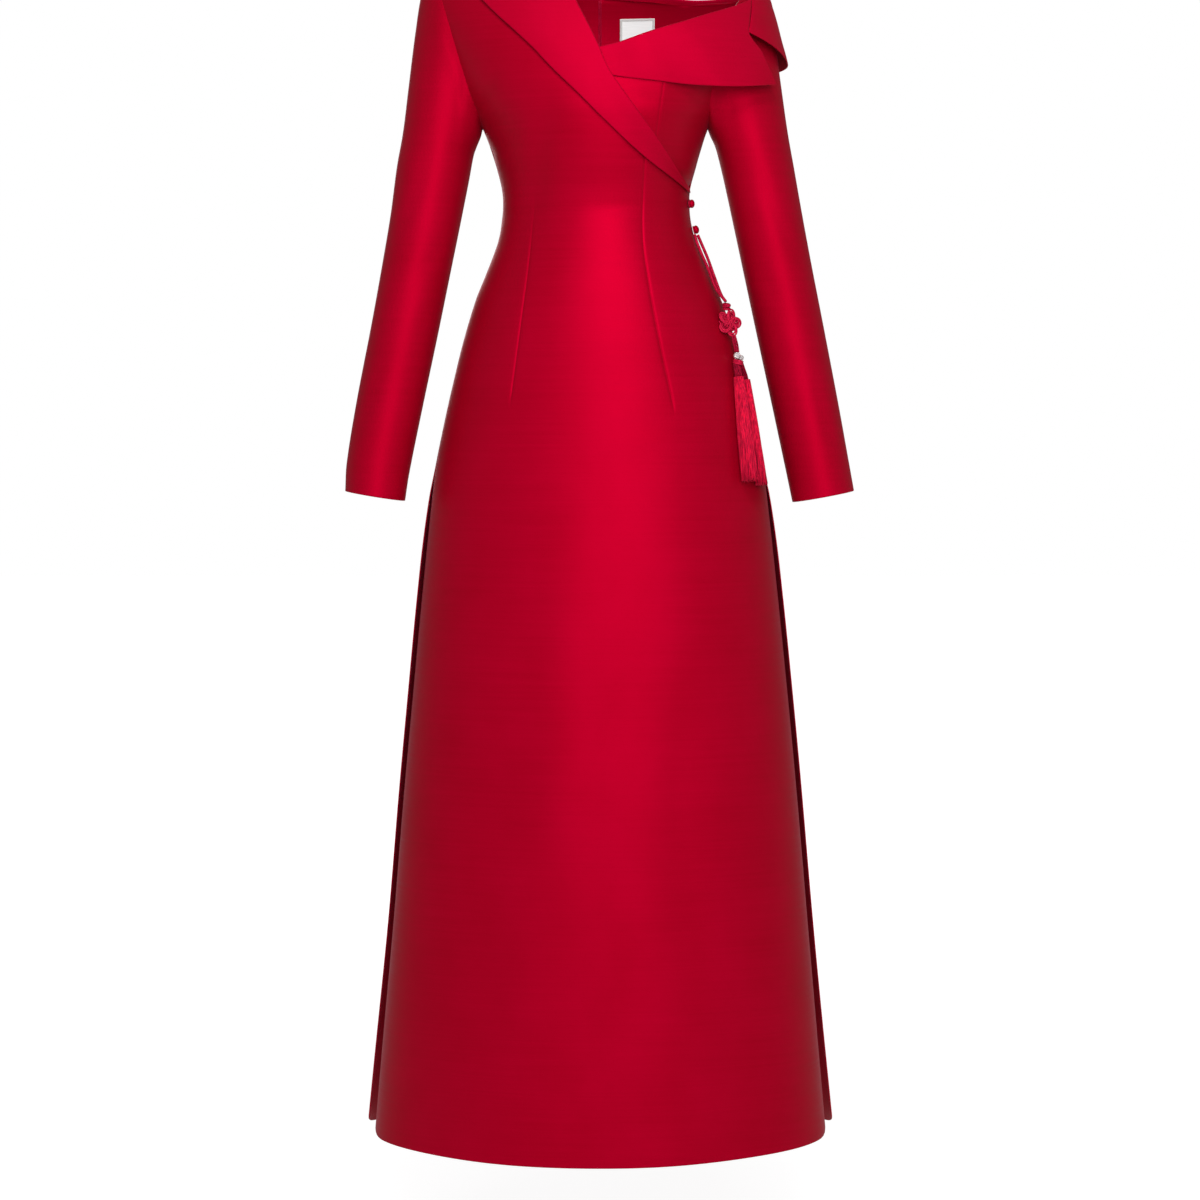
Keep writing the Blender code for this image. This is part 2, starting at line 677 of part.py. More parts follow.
def make_collar_back():
    """The folded collar from the right shoulder seam round the back to the notch."""
    on_body = [(top_x, level_at(top_x, top_z), low_x, level_at(low_x, low_z))
               for top_x, top_z, low_x, low_z in COLLAR_BODY]
    on_body[0] = (COLLAR_BODY[0][0], COLLAR_SEAM, COLLAR_BODY[0][2], COLLAR_SEAM)
    shared = [(math.degrees(hull_turn(top_x, top_z)), top_z, math.degrees(hull_turn(low_x, low_z)), low_z)
              for top_x, top_z, low_x, low_z in COLLAR_BODY[4:]]
    on_hull = shared + COLLAR_HULL
    last = len(COLLAR_BODY) + len(COLLAR_HULL) - 1
    body_at = [[(k, row[c]) for k, row in enumerate(on_body)] for c in range(4)]
    hull_at = [[(k + 4, row[c]) for k, row in enumerate(on_hull)] for c in range(4)]
    stations = 28
    across = 5
    outer = []
    for i in range(stations + 1):
        k = last * (i / stations) ** 1.3
        free = ease(4.2, 6.8, k)
        row = []
        for j in range(across + 1):
            w = j / across
            lift = lapel_lift(w)
            near = Vector()
            far = Vector()
            if free < 1.0:
                x = mix(curve_at(body_at[0], k), curve_at(body_at[2], k), w)
                level = mix(curve_at(body_at[1], k), curve_at(body_at[3], k), w)
                near = off_body(BACK, x, level, lift)
            if free > 0.0:
                turn = math.radians(mix(curve_at(hull_at[0], k), curve_at(hull_at[2], k), w))
                z = mix(curve_at(hull_at[1], k), curve_at(hull_at[3], k), w)
                far = hull_point(turn, z)
                far = clear_of_body(far, FRONT if turn < 0 else BACK, BAND_LIFT)
            row.append(near.lerp(far, free))
        outer.append(row)
    return wall("collar_back", outer, under_grid(outer))


def make_label():
    outer = []
    inner = []
    steps = 4
    for i in range(steps + 1):
        z = mix(LABEL_Z[0], LABEL_Z[1], i / steps)
        outer_row = []
        inner_row = []
        for j in range(steps + 1):
            x = mix(LABEL_X[0], LABEL_X[1], j / steps)
            level = level_at(x, z)
            outer_row.append(off_body(BACK, x, level, -CLOTH - LABEL_OFF))
            inner_row.append(off_body(BACK, x, level, -CLOTH - LABEL_OFF - LABEL_THICK))
        outer.append(outer_row)
        inner.append(inner_row)
    return wall("label", outer, inner, color=WHITE, roughness=0.5)


def lie_on_skirt(x, z, off):
    """The place at x and z whose distance from the cloth of the left hip is off."""
    level = z - CHEST_Z
    low, high = math.pi / 2, math.pi
    for _ in range(40):
        middle = (low + high) / 2
        point = body_point(FRONT, middle, level) + body_normal(FRONT, middle, level) * off
        if point.x < x:
            low = middle
        else:
            high = middle
    point = body_point(FRONT, low, level) + body_normal(FRONT, low, level) * off
    return Vector((max(x, point.x), point.y, z))


def button_centre(name):
    z, turn, gap = BUTTONS[name]
    level = z - CHEST_Z
    turn = math.radians(turn)
    normal = body_normal(FRONT, turn, level)
    return body_point(FRONT, turn, level) + normal * (BUTTON_THICK / 2 + gap), normal


def make_ball(name, centre, axis, across, thick, color=CRIMSON_CORD, roughness=0.5, rings=7):
    bm = bmesh.new()
    bmesh.ops.create_uvsphere(bm, u_segments=12, v_segments=rings, radius=0.5)
    bmesh.ops.scale(bm, vec=(across, across, thick), verts=bm.verts)
    matrix = Vector((0.0, 0.0, 1.0)).rotation_difference(axis).to_matrix()
    bmesh.ops.rotate(bm, matrix=matrix, verts=bm.verts)
    bmesh.ops.translate(bm, vec=centre, verts=bm.verts)
    return place(name, bm, color, roughness)


def smooth_route(points, count):
    """Evenly stepped points on a smooth curve through a route's own points."""
    keys = [0.0]
    for a, b in zip(points, points[1:]):
        keys.append(keys[-1] + (b - a).length)
    axes = [[(t, p[axis]) for t, p in zip(keys, points)] for axis in range(3)]
    return [Vector([curve_at(axis, keys[-1] * k / count) for axis in axes]) for k in range(count + 1)]


def make_tube(name, points, radius, cyclic=False, sides=2):
    curve = bpy.data.curves.new(name, "CURVE")
    curve.dimensions = "3D"
    curve.bevel_depth = radius * MM
    curve.bevel_resolution = sides
    curve.use_fill_caps = not cyclic
    spline = curve.splines.new("POLY")
    spline.points.add(len(points) - 1)
    for knot, point in zip(spline.points, points):
        knot.co = (*(point * MM), 1.0)
    spline.use_cyclic_u = cyclic
    item = bpy.data.objects.new(name, curve)
    bpy.context.scene.collection.objects.link(item)
    curve.materials.append(new_material(name, CRIMSON_CORD, 0.5))
    return item


def toward(start, goal, distance):
    return start + (goal - start).normalized() * distance


def make_ornament():
    knot = Vector(KNOT_TOP)
    flower = Vector(FLOWER)
    for name, route in (("cord_outer", CORD_OUTER), ("cord_inner", CORD_INNER)):
        route = [Vector(point) for point in route]
        make_tube(name, smooth_route(route, CORD_STEPS), CORD_RADIUS)
    make_ball("knot_top", knot, Vector((0.0, 0.0, 1.0)), 2 * KNOT_TOP_RADIUS, 2 * KNOT_TOP_RADIUS)

    out = Vector(FLOWER_FACES).normalized()
    down = Vector((0.36, 0.0, -1.0))
    down = (down - out * down.dot(out)).normalized()
    side = out.cross(down).normalized()
    ring = []
    for k in range(FLOWER_POINTS):
        angle = 4.0 * math.pi * k / FLOWER_POINTS
        swing = FLOWER_PETALS * angle / 2.0
        radius = FLOWER_MEAN + FLOWER_SWING * math.cos(swing)
        ring.append(flower + side * (radius * math.sin(angle))
                    + down * (radius * math.cos(angle) * FLOWER_TALL)
                    + out * (FLOWER_DEPTH * math.sin(swing)))
    make_tube("knot_flower", ring, FLOWER_TUBE, cyclic=True)
    return flower, down


def make_tassel(name):
    """A wound head whose underside is drawn out into strands, all one body."""
    top_x, top_z, foot_x, foot_z, top_radius, foot_radius = TASSEL[name]
    top = lie_on_skirt(top_x, top_z, top_radius + TASSEL_OFF)
    foot = lie_on_skirt(foot_x, foot_z, foot_radius + TASSEL_OFF)
    middle = lie_on_skirt((top.x + foot.x) / 2, (top.z + foot.z) / 2, foot_radius)
    bend = middle - (top + foot) / 2
    axis = (foot - top).normalized()
    side = axis.cross(Vector((0.0, 1.0, 0.0))).normalized()
    ahead = axis.cross(side).normalized()
    length = (foot - top).length
    bm = bmesh.new()
    cells = STRAND_CELLS

    def disc(u, v):
        return side * (u * math.sqrt(1.0 - v * v / 2.0)) + ahead * (v * math.sqrt(1.0 - u * u / 2.0))

    grid = []
    for i in range(cells + 1):
        grid.append([])
        for j in range(cells + 1):
            flat = disc(2.0 * i / cells - 1.0, 2.0 * j / cells - 1.0)
            grid[-1].append(bm.verts.new(top + axis * TASSEL_HEAD + flat * top_radius))
    faces = []
    for i in range(cells):
        for j in range(cells):
            faces.append(bm.faces.new((grid[i][j], grid[i + 1][j], grid[i + 1][j + 1], grid[i][j + 1])))
    rim = ([grid[k][0] for k in range(cells)] + [grid[cells][k] for k in range(cells)]
           + [grid[cells - k][cells] for k in range(cells)] + [grid[0][cells - k] for k in range(cells)])
    base = top + axis * TASSEL_HEAD
    outline = [v.co - base for v in rim]
    previous = rim
    for scale, along in TASSEL_CROWN:
        ring = [bm.verts.new(top + axis * along + p * scale) for p in outline]
        for k in range(len(ring)):
            n = (k + 1) % len(ring)
            bm.faces.new((previous[k], previous[n], ring[n], ring[k]))
        previous = ring
    bm.faces.new(previous)
    bmesh.ops.inset_individual(bm, faces=faces, thickness=0.22, depth=0.0)
    strand = 0
    for face in faces:
        start = face.calc_center_median() - base
        spread = foot_radius / top_radius
        wave = math.sin(strand * 2.4) * 0.5
        end = 1.0 - 0.035 * ((strand * 7) % 5) / 5.0
        roots = [v.co - base - start for v in face.verts]
        current = face
        for share in (0.45, end):
            made = bmesh.ops.extrude_discrete_faces(bm, faces=[current])
            current = made["faces"][0]
            centre = base + axis * (share * (length - TASSEL_HEAD)) + start * mix(1.0, spread, share)
            centre += bend * (4.0 * share * (1.0 - share))
            centre += side * wave * math.sin(share * 3.0)
            for vert, root in zip(current.verts, roots):
                vert.co = centre + root
        strand += 1
    return place(name, bm, CRIMSON_CORD, 0.6)


def make_drop(flower, down):
    """Strands, beads, wound ring and necks between the flower knot and the tassels."""
    bead = Vector(BEAD)
    petal_end = flower + down * ((FLOWER_MEAN + FLOWER_SWING) * FLOWER_TALL + FLOWER_TUBE + 0.4)
    for name, shift in (("drop_a", -2.0), ("drop_b", 0.0), ("drop_c", 2.0)):
        sideways = Vector((shift, shift * 0.3, 0.0))
        start = petal_end + sideways * 0.9 + Vector((0.0, 0.0, -abs(shift) * 0.15))
        lean = math.sqrt(BEAD_RADIUS ** 2 - (shift * 0.9) ** 2)
        end = bead + sideways * 0.86 + Vector((0.0, 0.0, lean + 0.45))
        make_tube(name, smooth_route([start, start.lerp(end, 0.5) + sideways * 0.2, end], 8), STRAND_RADIUS)
    make_ball("bead", bead, Vector((0.0, 0.0, 1.0)), 2 * BEAD_RADIUS, 2 * BEAD_RADIUS, CLEAR, 0.08)
    beside = bead + Vector((4.6, 5.6, -2.2))
    beside = toward(bead, beside, BEAD_RADIUS + BEAD_SIDE_RADIUS + 0.35)
    beside_size = 2 * BEAD_SIDE_RADIUS
    make_ball("bead_side", beside, Vector((0.0, 0.0, 1.0)), beside_size, beside_size, CLEAR, 0.08)
    hub = bead + Vector((1.2, -0.8, -BEAD_RADIUS - RING_HALF_HEIGHT - 0.8))
    make_ball("ring", hub, Vector((0.25, 0.0, 1.0)).normalized(), 2 * RING_RADIUS, 2 * RING_HALF_HEIGHT)
    for name, tassel, radius, shift, above in (("neck_front", "tassel_front", 2.9, -2.2, 0.9),
                                               ("neck_side", "tassel_side", 1.9, 3.9, 1.9)):
        top_x, top_z, _, _, top_radius, _ = TASSEL[tassel]
        top = lie_on_skirt(top_x, top_z, top_radius + TASSEL_OFF)
        start = hub + Vector((shift, shift * 0.4, -RING_HALF_HEIGHT - 1.2))
        end = top + Vector((0.0, 0.0, above))
        make_tube(name, smooth_route([start, start.lerp(end, 0.5), end], 6), radius)


def main():
    for item in list(bpy.data.objects):
        bpy.data.objects.remove(item, do_unlink=True)
    make_front()
    make_front_under()
    make_back_right()
    make_back_left()
    make_sleeve("right")
    make_sleeve("left")
    make_lapel()
    make_collar_band()
    make_collar_back()
    make_label()
    for name in BUTTONS:
        centre, normal = button_centre(name)
        make_ball(name, centre, normal, BUTTON_ACROSS, BUTTON_THICK)
    flower, down = make_ornament()
    make_drop(flower, down)
    for name in TASSEL:
        make_tassel(name)


main()
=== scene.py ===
"""Looks of the ao dai tunic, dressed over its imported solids. Sizes are in mm until a mesh is made."""
import math

import bpy
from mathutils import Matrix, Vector


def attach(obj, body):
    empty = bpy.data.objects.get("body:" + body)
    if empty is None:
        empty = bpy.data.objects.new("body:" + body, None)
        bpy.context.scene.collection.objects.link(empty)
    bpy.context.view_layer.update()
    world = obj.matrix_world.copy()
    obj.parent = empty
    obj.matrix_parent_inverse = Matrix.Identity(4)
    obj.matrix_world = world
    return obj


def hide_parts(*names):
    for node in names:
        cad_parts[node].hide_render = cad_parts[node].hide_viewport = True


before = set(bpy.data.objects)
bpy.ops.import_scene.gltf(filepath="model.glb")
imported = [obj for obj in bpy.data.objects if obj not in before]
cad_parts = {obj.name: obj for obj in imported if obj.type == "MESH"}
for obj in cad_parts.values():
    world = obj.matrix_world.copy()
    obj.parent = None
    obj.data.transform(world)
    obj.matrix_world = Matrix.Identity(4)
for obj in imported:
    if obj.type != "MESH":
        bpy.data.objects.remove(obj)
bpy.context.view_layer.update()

MM = 0.001
CLOTH = 1.5
SEAM = 0.3
FRONT = -1
BACK = 1

CHEST_Z = -130.0
ARC = 235.0
ARMPIT = -74.0
WRAP_END = -146.0
SLIT_TOP = -470.0
SLIT_HALF = 14.0
HEM_SIDE_Z = -1395.4
HEM_DROP = 12.5
HEM_CORNER = 38.0
HEM_CORNER_RISE = 14.0
LAST_LEVEL = -1200.0
HIP_LEVEL = -490.0
OVAL = 2.1
HULL_OVAL = 2.0
TIP_WIDTH = 4.0

# Half widths and depths of the body and the skirt at each level.
# level, right, left, front, back
BODY = [
    (-1290.0, 271.5, 272.5, 131.0, 141.0),
    (-1158.0, 259.7, 260.4, 129.0, 137.0),
    (-1013.0, 246.3, 247.7, 127.0, 133.0),
    (-869.0, 234.3, 235.3, 125.0, 129.0),
    (-749.0, 223.2, 224.0, 122.0, 125.0),
    (-629.0, 211.8, 211.8, 119.0, 121.0),
    (-510.0, 199.4, 198.6, 115.0, 117.0),
    (-463.0, 193.4, 191.9, 113.0, 116.0),
    (-415.0, 183.8, 182.6, 111.0, 115.0),
    (-368.0, 173.0, 171.8, 109.0, 114.0),
    (-321.0, 161.2, 159.8, 107.0, 112.5),
    (-274.0, 146.9, 143.3, 104.0, 107.0),
    (-250.0, 137.2, 132.6, 102.0, 103.0),
    (-226.0, 127.6, 121.9, 100.0, 97.0),
    (-203.0, 119.6, 112.4, 98.5, 91.0),
    (-180.0, 115.8, 107.0, 97.5, 87.0),
    (-162.0, 114.4, 105.6, 98.5, 85.0),
    (-144.0, 115.8, 106.4, 101.5, 86.0),
    (-121.0, 121.4, 112.4, 107.0, 88.5),
    (-97.0, 128.8, 119.2, 112.0, 92.0),
    (-74.0, 138.0, 127.0, 116.0, 96.0),
    (-55.0, 149.5, 138.0, 118.0, 98.0),
    (-20.0, 169.0, 152.0, 117.5, 100.0),
    (42.0, 190.0, 174.0, 113.0, 100.0),
    (105.0, 205.0, 193.0, 112.0, 100.0),
    (235.0, 216.0, 206.0, 112.0, 100.0),
]
# level, how much wider the back hangs
BACK_EXTRA = [(-1290.0, 11.5), (-1231.0, 10.8), (-1013.0, 8.0), (-749.0, 7.0), (-581.0, 6.2),
              (-510.0, 4.0), (-470.0, 0.8), (-430.0, 0.0)]
# x, z of the ridge of the shoulders
SHOULDER = [(-225.0, -32.0), (-195.0, -20.0), (-130.0, 1.0), (-64.6, 20.0), (-30.0, 30.0), (0.0, 33.0),
            (30.0, 29.0), (55.0, 20.0), (120.0, -12.0), (186.0, -45.0), (215.0, -60.0)]
# level, x of the fold line
FOLD = [(-146.0, 106.5), (-132.0, 94.0), (-93.5, 65.9), (-20.7, 12.5), (10.3, -2.1), (62.6, -28.5),
        (108.0, -46.0), (170.0, -58.0), (235.0, -64.6)]
# share, level, x of the lapel's outer edge
LAPEL_EDGE = [(0.0, -149.5, 103.0), (0.16, -113.0, 50.0), (0.36, -67.4, 0.0), (0.46, -44.8, -22.8),
              (0.66, 2.0, -68.7), (0.82, 83.4, -135.0), (0.93, 180.0, -166.0), (1.0, 235.0, -174.0)]
# x, level of the back neckline
NECKLINE = [(-64.6, 235.0), (-60.0, 162.0), (-50.0, 134.0), (-30.0, 111.0), (-12.0, 96.0), (0.0, 91.0),
            (48.0, 91.0), (100.0, 103.0), (140.0, 123.0), (165.0, 152.0), (180.0, 190.0), (186.0, 235.0)]
NECK_LOW = 91.0
# x, z of the folded band's edges
BAND_TOP = [(-30.0, -128.0), (1.0, -120.5), (25.0, -115.0), (59.0, -103.0), (115.0, -84.0),
            (176.0, -58.0), (188.0, -37.0)]
BAND_LOW = [(-30.0, -144.0), (13.7, -152.2), (65.6, -158.2), (115.0, -162.0), (161.5, -161.5),
            (206.8, -156.0)]
# share of the band's height, x
BAND_START = [(0.0, -12.0), (1.0, -1.0)]
BAND_END = [(0.0, 175.5), (0.34, 171.5), (0.4, 172.0), (1.0, 205.0)]
# z, left, front, back of the form round the bare shoulder
HULL = [(-165.0, 227.0, 119.0, 112.0), (-128.0, 221.5, 119.0, 110.0), (-99.0, 213.6, 116.0, 106.0),
        (-76.0, 207.6, 108.0, 99.0), (-53.0, 200.0, 92.0, 88.0), (-43.0, 194.5, 80.0, 81.0),
        (-37.0, 190.0, 71.0, 77.0), (-30.0, 183.0, 60.0, 70.0)]
# top x, top z, low x, low z of the collar on the back
COLLAR_BODY = [(-64.6, 20.0, -174.0, -13.6), (-61.0, 6.0, -166.0, -60.0), (-50.0, -6.0, -138.0, -98.0),
               (-28.0, -17.5, -88.0, -121.0), (3.0, -26.5, -28.0, -131.0), (45.0, -36.3, 45.0, -138.0),
               (85.0, -41.0, 98.0, -142.0), (120.0, -44.6, 140.0, -143.0)]
# top turn, top z, low turn, low z of the collar round the shoulder
COLLAR_HULL = [(34.0, -43.6, 35.0, -139.0), (18.0, -40.0, 18.0, -133.0), (0.0, -36.8, -2.0, -127.5),
               (-15.0, -44.0, -19.0, -113.0), (-28.6, -57.0, -36.0, -98.0)]
COLLAR_SEAM = 234.2
BLEND = 30.0
LIFT_FOLD = 2.8
LIFT_EDGE = 5.0
BAND_LIFT = 3.4
TUCK_BAND = 2.9
TUCK_UNDER = 5.4
TUCK_LOW = 3.2
UNDER_WIDTH = 30.0
UNDER_TOP = 170.0

# side, low x, top x, top z, bow of the armhole
ARMHOLE = {"right": (-138.0, -195.0, -20.0, -2.0), "left": (127.0, 186.0, -45.0, -17.0)}
# under x, under z, over x, over z, half depth, y, share of armhole form
SLEEVE = {
    "right": [
        (-138.0, -204.0, -195.0, -20.0, 56.0, 0.0, 1.0),
        (-139.0, -208.0, -203.5, -32.0, 55.0, 0.0, 0.9),
        (-140.0, -212.0, -210.0, -52.0, 54.0, 0.0, 0.72),
        (-142.0, -217.0, -217.0, -92.0, 52.0, 0.0, 0.5),
        (-145.0, -224.0, -224.0, -146.0, 50.0, 0.0, 0.26),
        (-149.0, -236.0, -231.5, -205.0, 48.5, 0.0, 0.1),
        (-154.0, -263.0, -239.0, -247.0, 47.0, -1.0, 0.0),
        (-165.0, -318.0, -246.5, -303.0, 45.5, -3.0, 0.0),
        (-176.5, -374.0, -256.0, -359.0, 44.0, -5.0, 0.0),
        (-190.8, -444.0, -268.6, -429.0, 43.0, -9.0, 0.0),
        (-211.0, -540.0, -287.3, -526.0, 41.0, -15.0, 0.0),
        (-225.0, -610.0, -298.5, -597.0, 39.5, -21.0, 0.0),
        (-229.5, -640.0, -300.0, -628.5, 38.5, -24.0, 0.0),
    ],
    "left": [
        (127.0, -204.0, 186.0, -45.0, 52.0, 0.0, 1.0),
        (128.5, -208.0, 193.0, -56.0, 51.0, 0.0, 0.9),
        (130.0, -212.0, 199.5, -74.0, 50.0, 0.0, 0.72),
        (132.5, -217.0, 206.0, -104.0, 49.0, 0.0, 0.5),
        (135.5, -224.0, 212.5, -150.0, 48.0, 0.0, 0.26),
        (139.0, -236.0, 220.5, -205.0, 47.5, 0.0, 0.1),
        (145.5, -263.0, 228.0, -247.0, 47.0, -1.0, 0.0),
        (157.5, -318.0, 238.0, -303.0, 45.5, -3.0, 0.0),
        (169.5, -374.0, 248.5, -359.0, 44.0, -5.0, 0.0),
        (184.5, -444.0, 262.2, -429.0, 43.0, -9.0, 0.0),
        (205.2, -540.0, 280.8, -526.0, 41.0, -15.0, 0.0),
        (220.0, -610.0, 293.5, -597.0, 39.5, -21.0, 0.0),
        (226.5, -641.5, 299.0, -628.0, 38.5, -24.0, 0.0),
    ],
}

# Ornament on the wearer's left hip.
BUTTON_ACROSS = 10.0
BUTTON_THICK = 6.8
# z, turn round the body in degrees, gap to the cloth
BUTTONS = {"button_top": (-292.3, 168.0, 0.95), "button_low": (-323.0, 172.0, 1.3)}
CORD_RADIUS = 1.8
# x, y, z
CORD_OUTER = [(115.0, -17.6, -328.6), (119.3, -21.0, -339.0), (126.0, -27.0, -355.4),
              (134.2, -33.5, -378.8), (142.0, -41.0, -400.0), (147.2, -43.6, -407.6)]
CORD_INNER = [(111.0, -24.6, -328.4), (113.6, -27.5, -337.3), (119.4, -33.0, -352.4),
              (127.0, -38.2, -369.9), (135.6, -43.0, -392.1), (146.6, -47.6, -407.1)]
KNOT_TOP = (147.8, -45.8, -412.9)
KNOT_TOP_RADIUS = 5.0
FLOWER = (151.4, -47.0, -431.9)
FLOWER_FACES = (0.42, -0.9, 0.1)
FLOWER_TUBE = 1.25
FLOWER_MEAN = 7.9
FLOWER_SWING = 5.4
FLOWER_DEPTH = 1.6
FLOWER_TALL = 1.12
FLOWER_PETALS = 5
BEAD = (160.2, -47.5, -470.6)
BEAD_RADIUS = 4.2
BEAD_SIDE_RADIUS = 3.4
RING_RADIUS = 6.4
RING_HALF_HEIGHT = 2.6
# top x, top z, foot x, foot z, top radius, foot radius
TASSEL = {"tassel_front": (161.8, -495.3, 174.5, -616.8, 6.3, 10.5),
          "tassel_side": (171.8, -498.4, 189.5, -622.1, 4.8, 7.5)}
TASSEL_OFF = 1.1
WEAVE_SHORT = 7.4
WEAVE_LONG = 11.0
WEAVE_ROUND = 13.0
# lean in degrees, height, half length and offsets across of the strands woven through the flower knot
KNOT_WEAVE = (
    (-42.0, 1.5, WEAVE_SHORT, (-3.6, -1.2, 1.2, 3.6)),
    (48.0, -0.6, WEAVE_SHORT, (-4.2, -1.6, 1.0, 3.6)),
    (4.0, -1.7, WEAVE_LONG, (-9.4, -7.4, -5.2, -2.8, -0.4, 2.0, 4.4, 6.8, 9.0)),
    (78.0, -2.2, WEAVE_LONG, (-9.2, -7.0, -4.8, -2.4, 2.4, 4.8, 7.0, 9.2)),
)
FLOWER_STEPS = 260
PLIES = 3
# name, tassel, half width of the strands, shift across the ring, threads
NECKS = (("neck_front", "tassel_front", 2.9, -2.2, 46), ("neck_side", "tassel_side", 1.9, 3.9, 26))
TASSEL_THREADS = {"tassel_front": 430, "tassel_side": 330}

LABEL_X = (24.7, 66.2)
LABEL_Z = (-97.0, -62.7)
LABEL_THICK = 1.0
LABEL_BORDER = 2.3
LABEL_STEPS = 16
LABEL_OFF = 1.2
# the centre back seam lies this far inside the cloth's outer face, between these levels
BACK_SEAM_IN = 1.55
BACK_SEAM_TOP = 86.0
BACK_SEAM_FOOT = -470.0

# How finely the cloth is stepped; the steps beside an edge and a seam are in mm.
EDGE_STEPS = (0.0, 0.5, 1.3, 2.6, 4.6)
SEAM_STEPS = (-4.6, -2.6, -1.3, -0.5, 0.0, 0.5, 1.3, 2.6, 4.6)
SLEEVE_COLUMNS = 88
SLEEVE_ROWS = 124
LAPEL_ROWS = 150
BAND_COLUMNS = 110
COLLAR_ROWS = 170
HALVINGS = 40

# How far under the body's cloth and how far inward the sleeve's seam allowance lies.
SLEEVE_TUCK = ((1.8, 0.0), (2.3, 4.0))

# The camera, in metres and degrees, and the floor, in mm.
EYE = (0.0, -3.6, -0.54542)
PITCH_DOWN = 3.4
LENS = 90.916
SENSOR = 36.0
FLOOR_Z = -1560.0
# glow of the floor below the garment, dimmed there as a painted shade, and far away
FLOOR_PAINTED_SHADE_GLOW = 0.82
FLOOR_FAR = 1.0
FLOOR_BOUNCE = 0.3
FLOOR_HALF = 16000.0
# metres from the middle where the floor's painted shade, a dimmed glow, begins to fade and where it ends
FLOOR_PAINTED_SHADE = (0.9, 3.4)

# Darts of the front and the back, and the princess seam of the under-front.
# level, x
DART_LEFT = [(-402.0, 85.3), (-330.0, 69.5), (-266.0, 57.4), (-203.0, 49.4), (-118.0, 51.7), (-60.0, 54.0)]
DART_RIGHT = [(-395.0, -103.7), (-300.0, -91.0), (-226.0, -81.6), (-160.0, -76.5), (-90.0, -73.0),
              (0.0, -74.0)]
PRINCESS = [(-140.0, 60.0), (-92.7, 65.3), (-33.6, 72.0), (30.0, 78.0)]
BACK_DART = [(-380.0, 92.0), (-250.0, 80.0), (-162.0, 74.0), (-60.0, 80.0), (40.0, 92.0)]

# Soft troughs and ridges placed on the body.
# side, x, level, lean in degrees from level, half length, half width, height
BODY_CREASES = [
    (FRONT, -72.0, -118.0, 84.0, 95.0, 17.0, -2.6),
    (FRONT, -98.0, -176.0, 12.0, 42.0, 6.0, -0.7),
    (FRONT, -88.0, -196.0, -9.0, 36.0, 5.0, -0.5),
    (FRONT, 78.0, -182.0, -14.0, 30.0, 6.0, -0.6),
    (FRONT, 18.0, -170.0, 4.0, 46.0, 9.0, -0.5),
    (FRONT, -118.0, -96.0, 38.0, 46.0, 8.0, -1.1),
    (FRONT, -140.0, -48.0, 62.0, 60.0, 9.0, -1.2),
    (FRONT, -46.0, -760.0, 88.0, 300.0, 34.0, 1.4),
    (FRONT, 96.0, -900.0, 92.0, 250.0, 30.0, -1.6),
    (FRONT, -130.0, -980.0, 86.0, 260.0, 38.0, -1.5),
    (BACK, -40.0, -158.0, 7.0, 62.0, 9.0, -1.6),
    (BACK, 48.0, -174.0, -10.0, 50.0, 8.0, -1.3),
    (BACK, -22.0, -200.0, 3.0, 74.0, 10.0, -1.4),
    (BACK, 66.0, -140.0, -16.0, 38.0, 7.0, -1.0),
    (BACK, -82.0, -128.0, 18.0, 36.0, 7.0, -1.0),
    (BACK, -128.0, -60.0, 58.0, 54.0, 9.0, -1.3),
    (BACK, 118.0, -66.0, -56.0, 50.0, 9.0, -1.2),
    (BACK, -96.0, -720.0, 88.0, 290.0, 36.0, -1.8),
    (BACK, 72.0, -820.0, 93.0, 310.0, 32.0, -1.6),
    (BACK, 6.0, -640.0, 90.0, 240.0, 30.0, 1.4),
]

# Soft creases of the sleeves: the turn runs from the under-arm over the front, 90, and the top, 180.
# turn in degrees, place along from the armhole in mm, lean, half length, half width, height
SLEEVE_CREASES = {
    "right": [
        (70.0, 60.0, 58.0, 60.0, 12.0, -0.4),
        (95.0, 118.0, 66.0, 58.0, 11.0, -0.35),
        (60.0, 244.0, 62.0, 52.0, 11.0, -0.4),
        (82.0, 282.0, 74.0, 66.0, 12.0, -0.45),
        (50.0, 316.0, 68.0, 44.0, 10.0, -0.3),
        (110.0, 180.0, 76.0, 70.0, 11.0, -1.0),
        (250.0, 250.0, 10.0, 40.0, 7.0, -1.2),
        (280.0, 284.0, -12.0, 46.0, 8.0, -1.4),
        (300.0, 90.0, -24.0, 44.0, 8.0, -1.2),
        (230.0, 390.0, 66.0, 56.0, 9.0, -0.8),
        (120.0, 420.0, 80.0, 64.0, 10.0, -0.7),
    ],
    "left": [
        (64.0, 56.0, 56.0, 56.0, 12.0, -0.4),
        (88.0, 138.0, 68.0, 60.0, 11.0, -0.3),
        (56.0, 256.0, 64.0, 54.0, 11.0, -0.4),
        (78.0, 296.0, 72.0, 62.0, 12.0, -0.4),
        (104.0, 196.0, 72.0, 76.0, 11.0, -0.9),
        (262.0, 240.0, 8.0, 44.0, 7.5, -1.3),
        (284.0, 272.0, -10.0, 38.0, 7.0, -1.1),
        (296.0, 80.0, -28.0, 46.0, 8.0, -1.3),
        (236.0, 400.0, 70.0, 60.0, 9.0, -0.8),
        (116.0, 430.0, 84.0, 58.0, 10.0, -0.8),
    ],
}


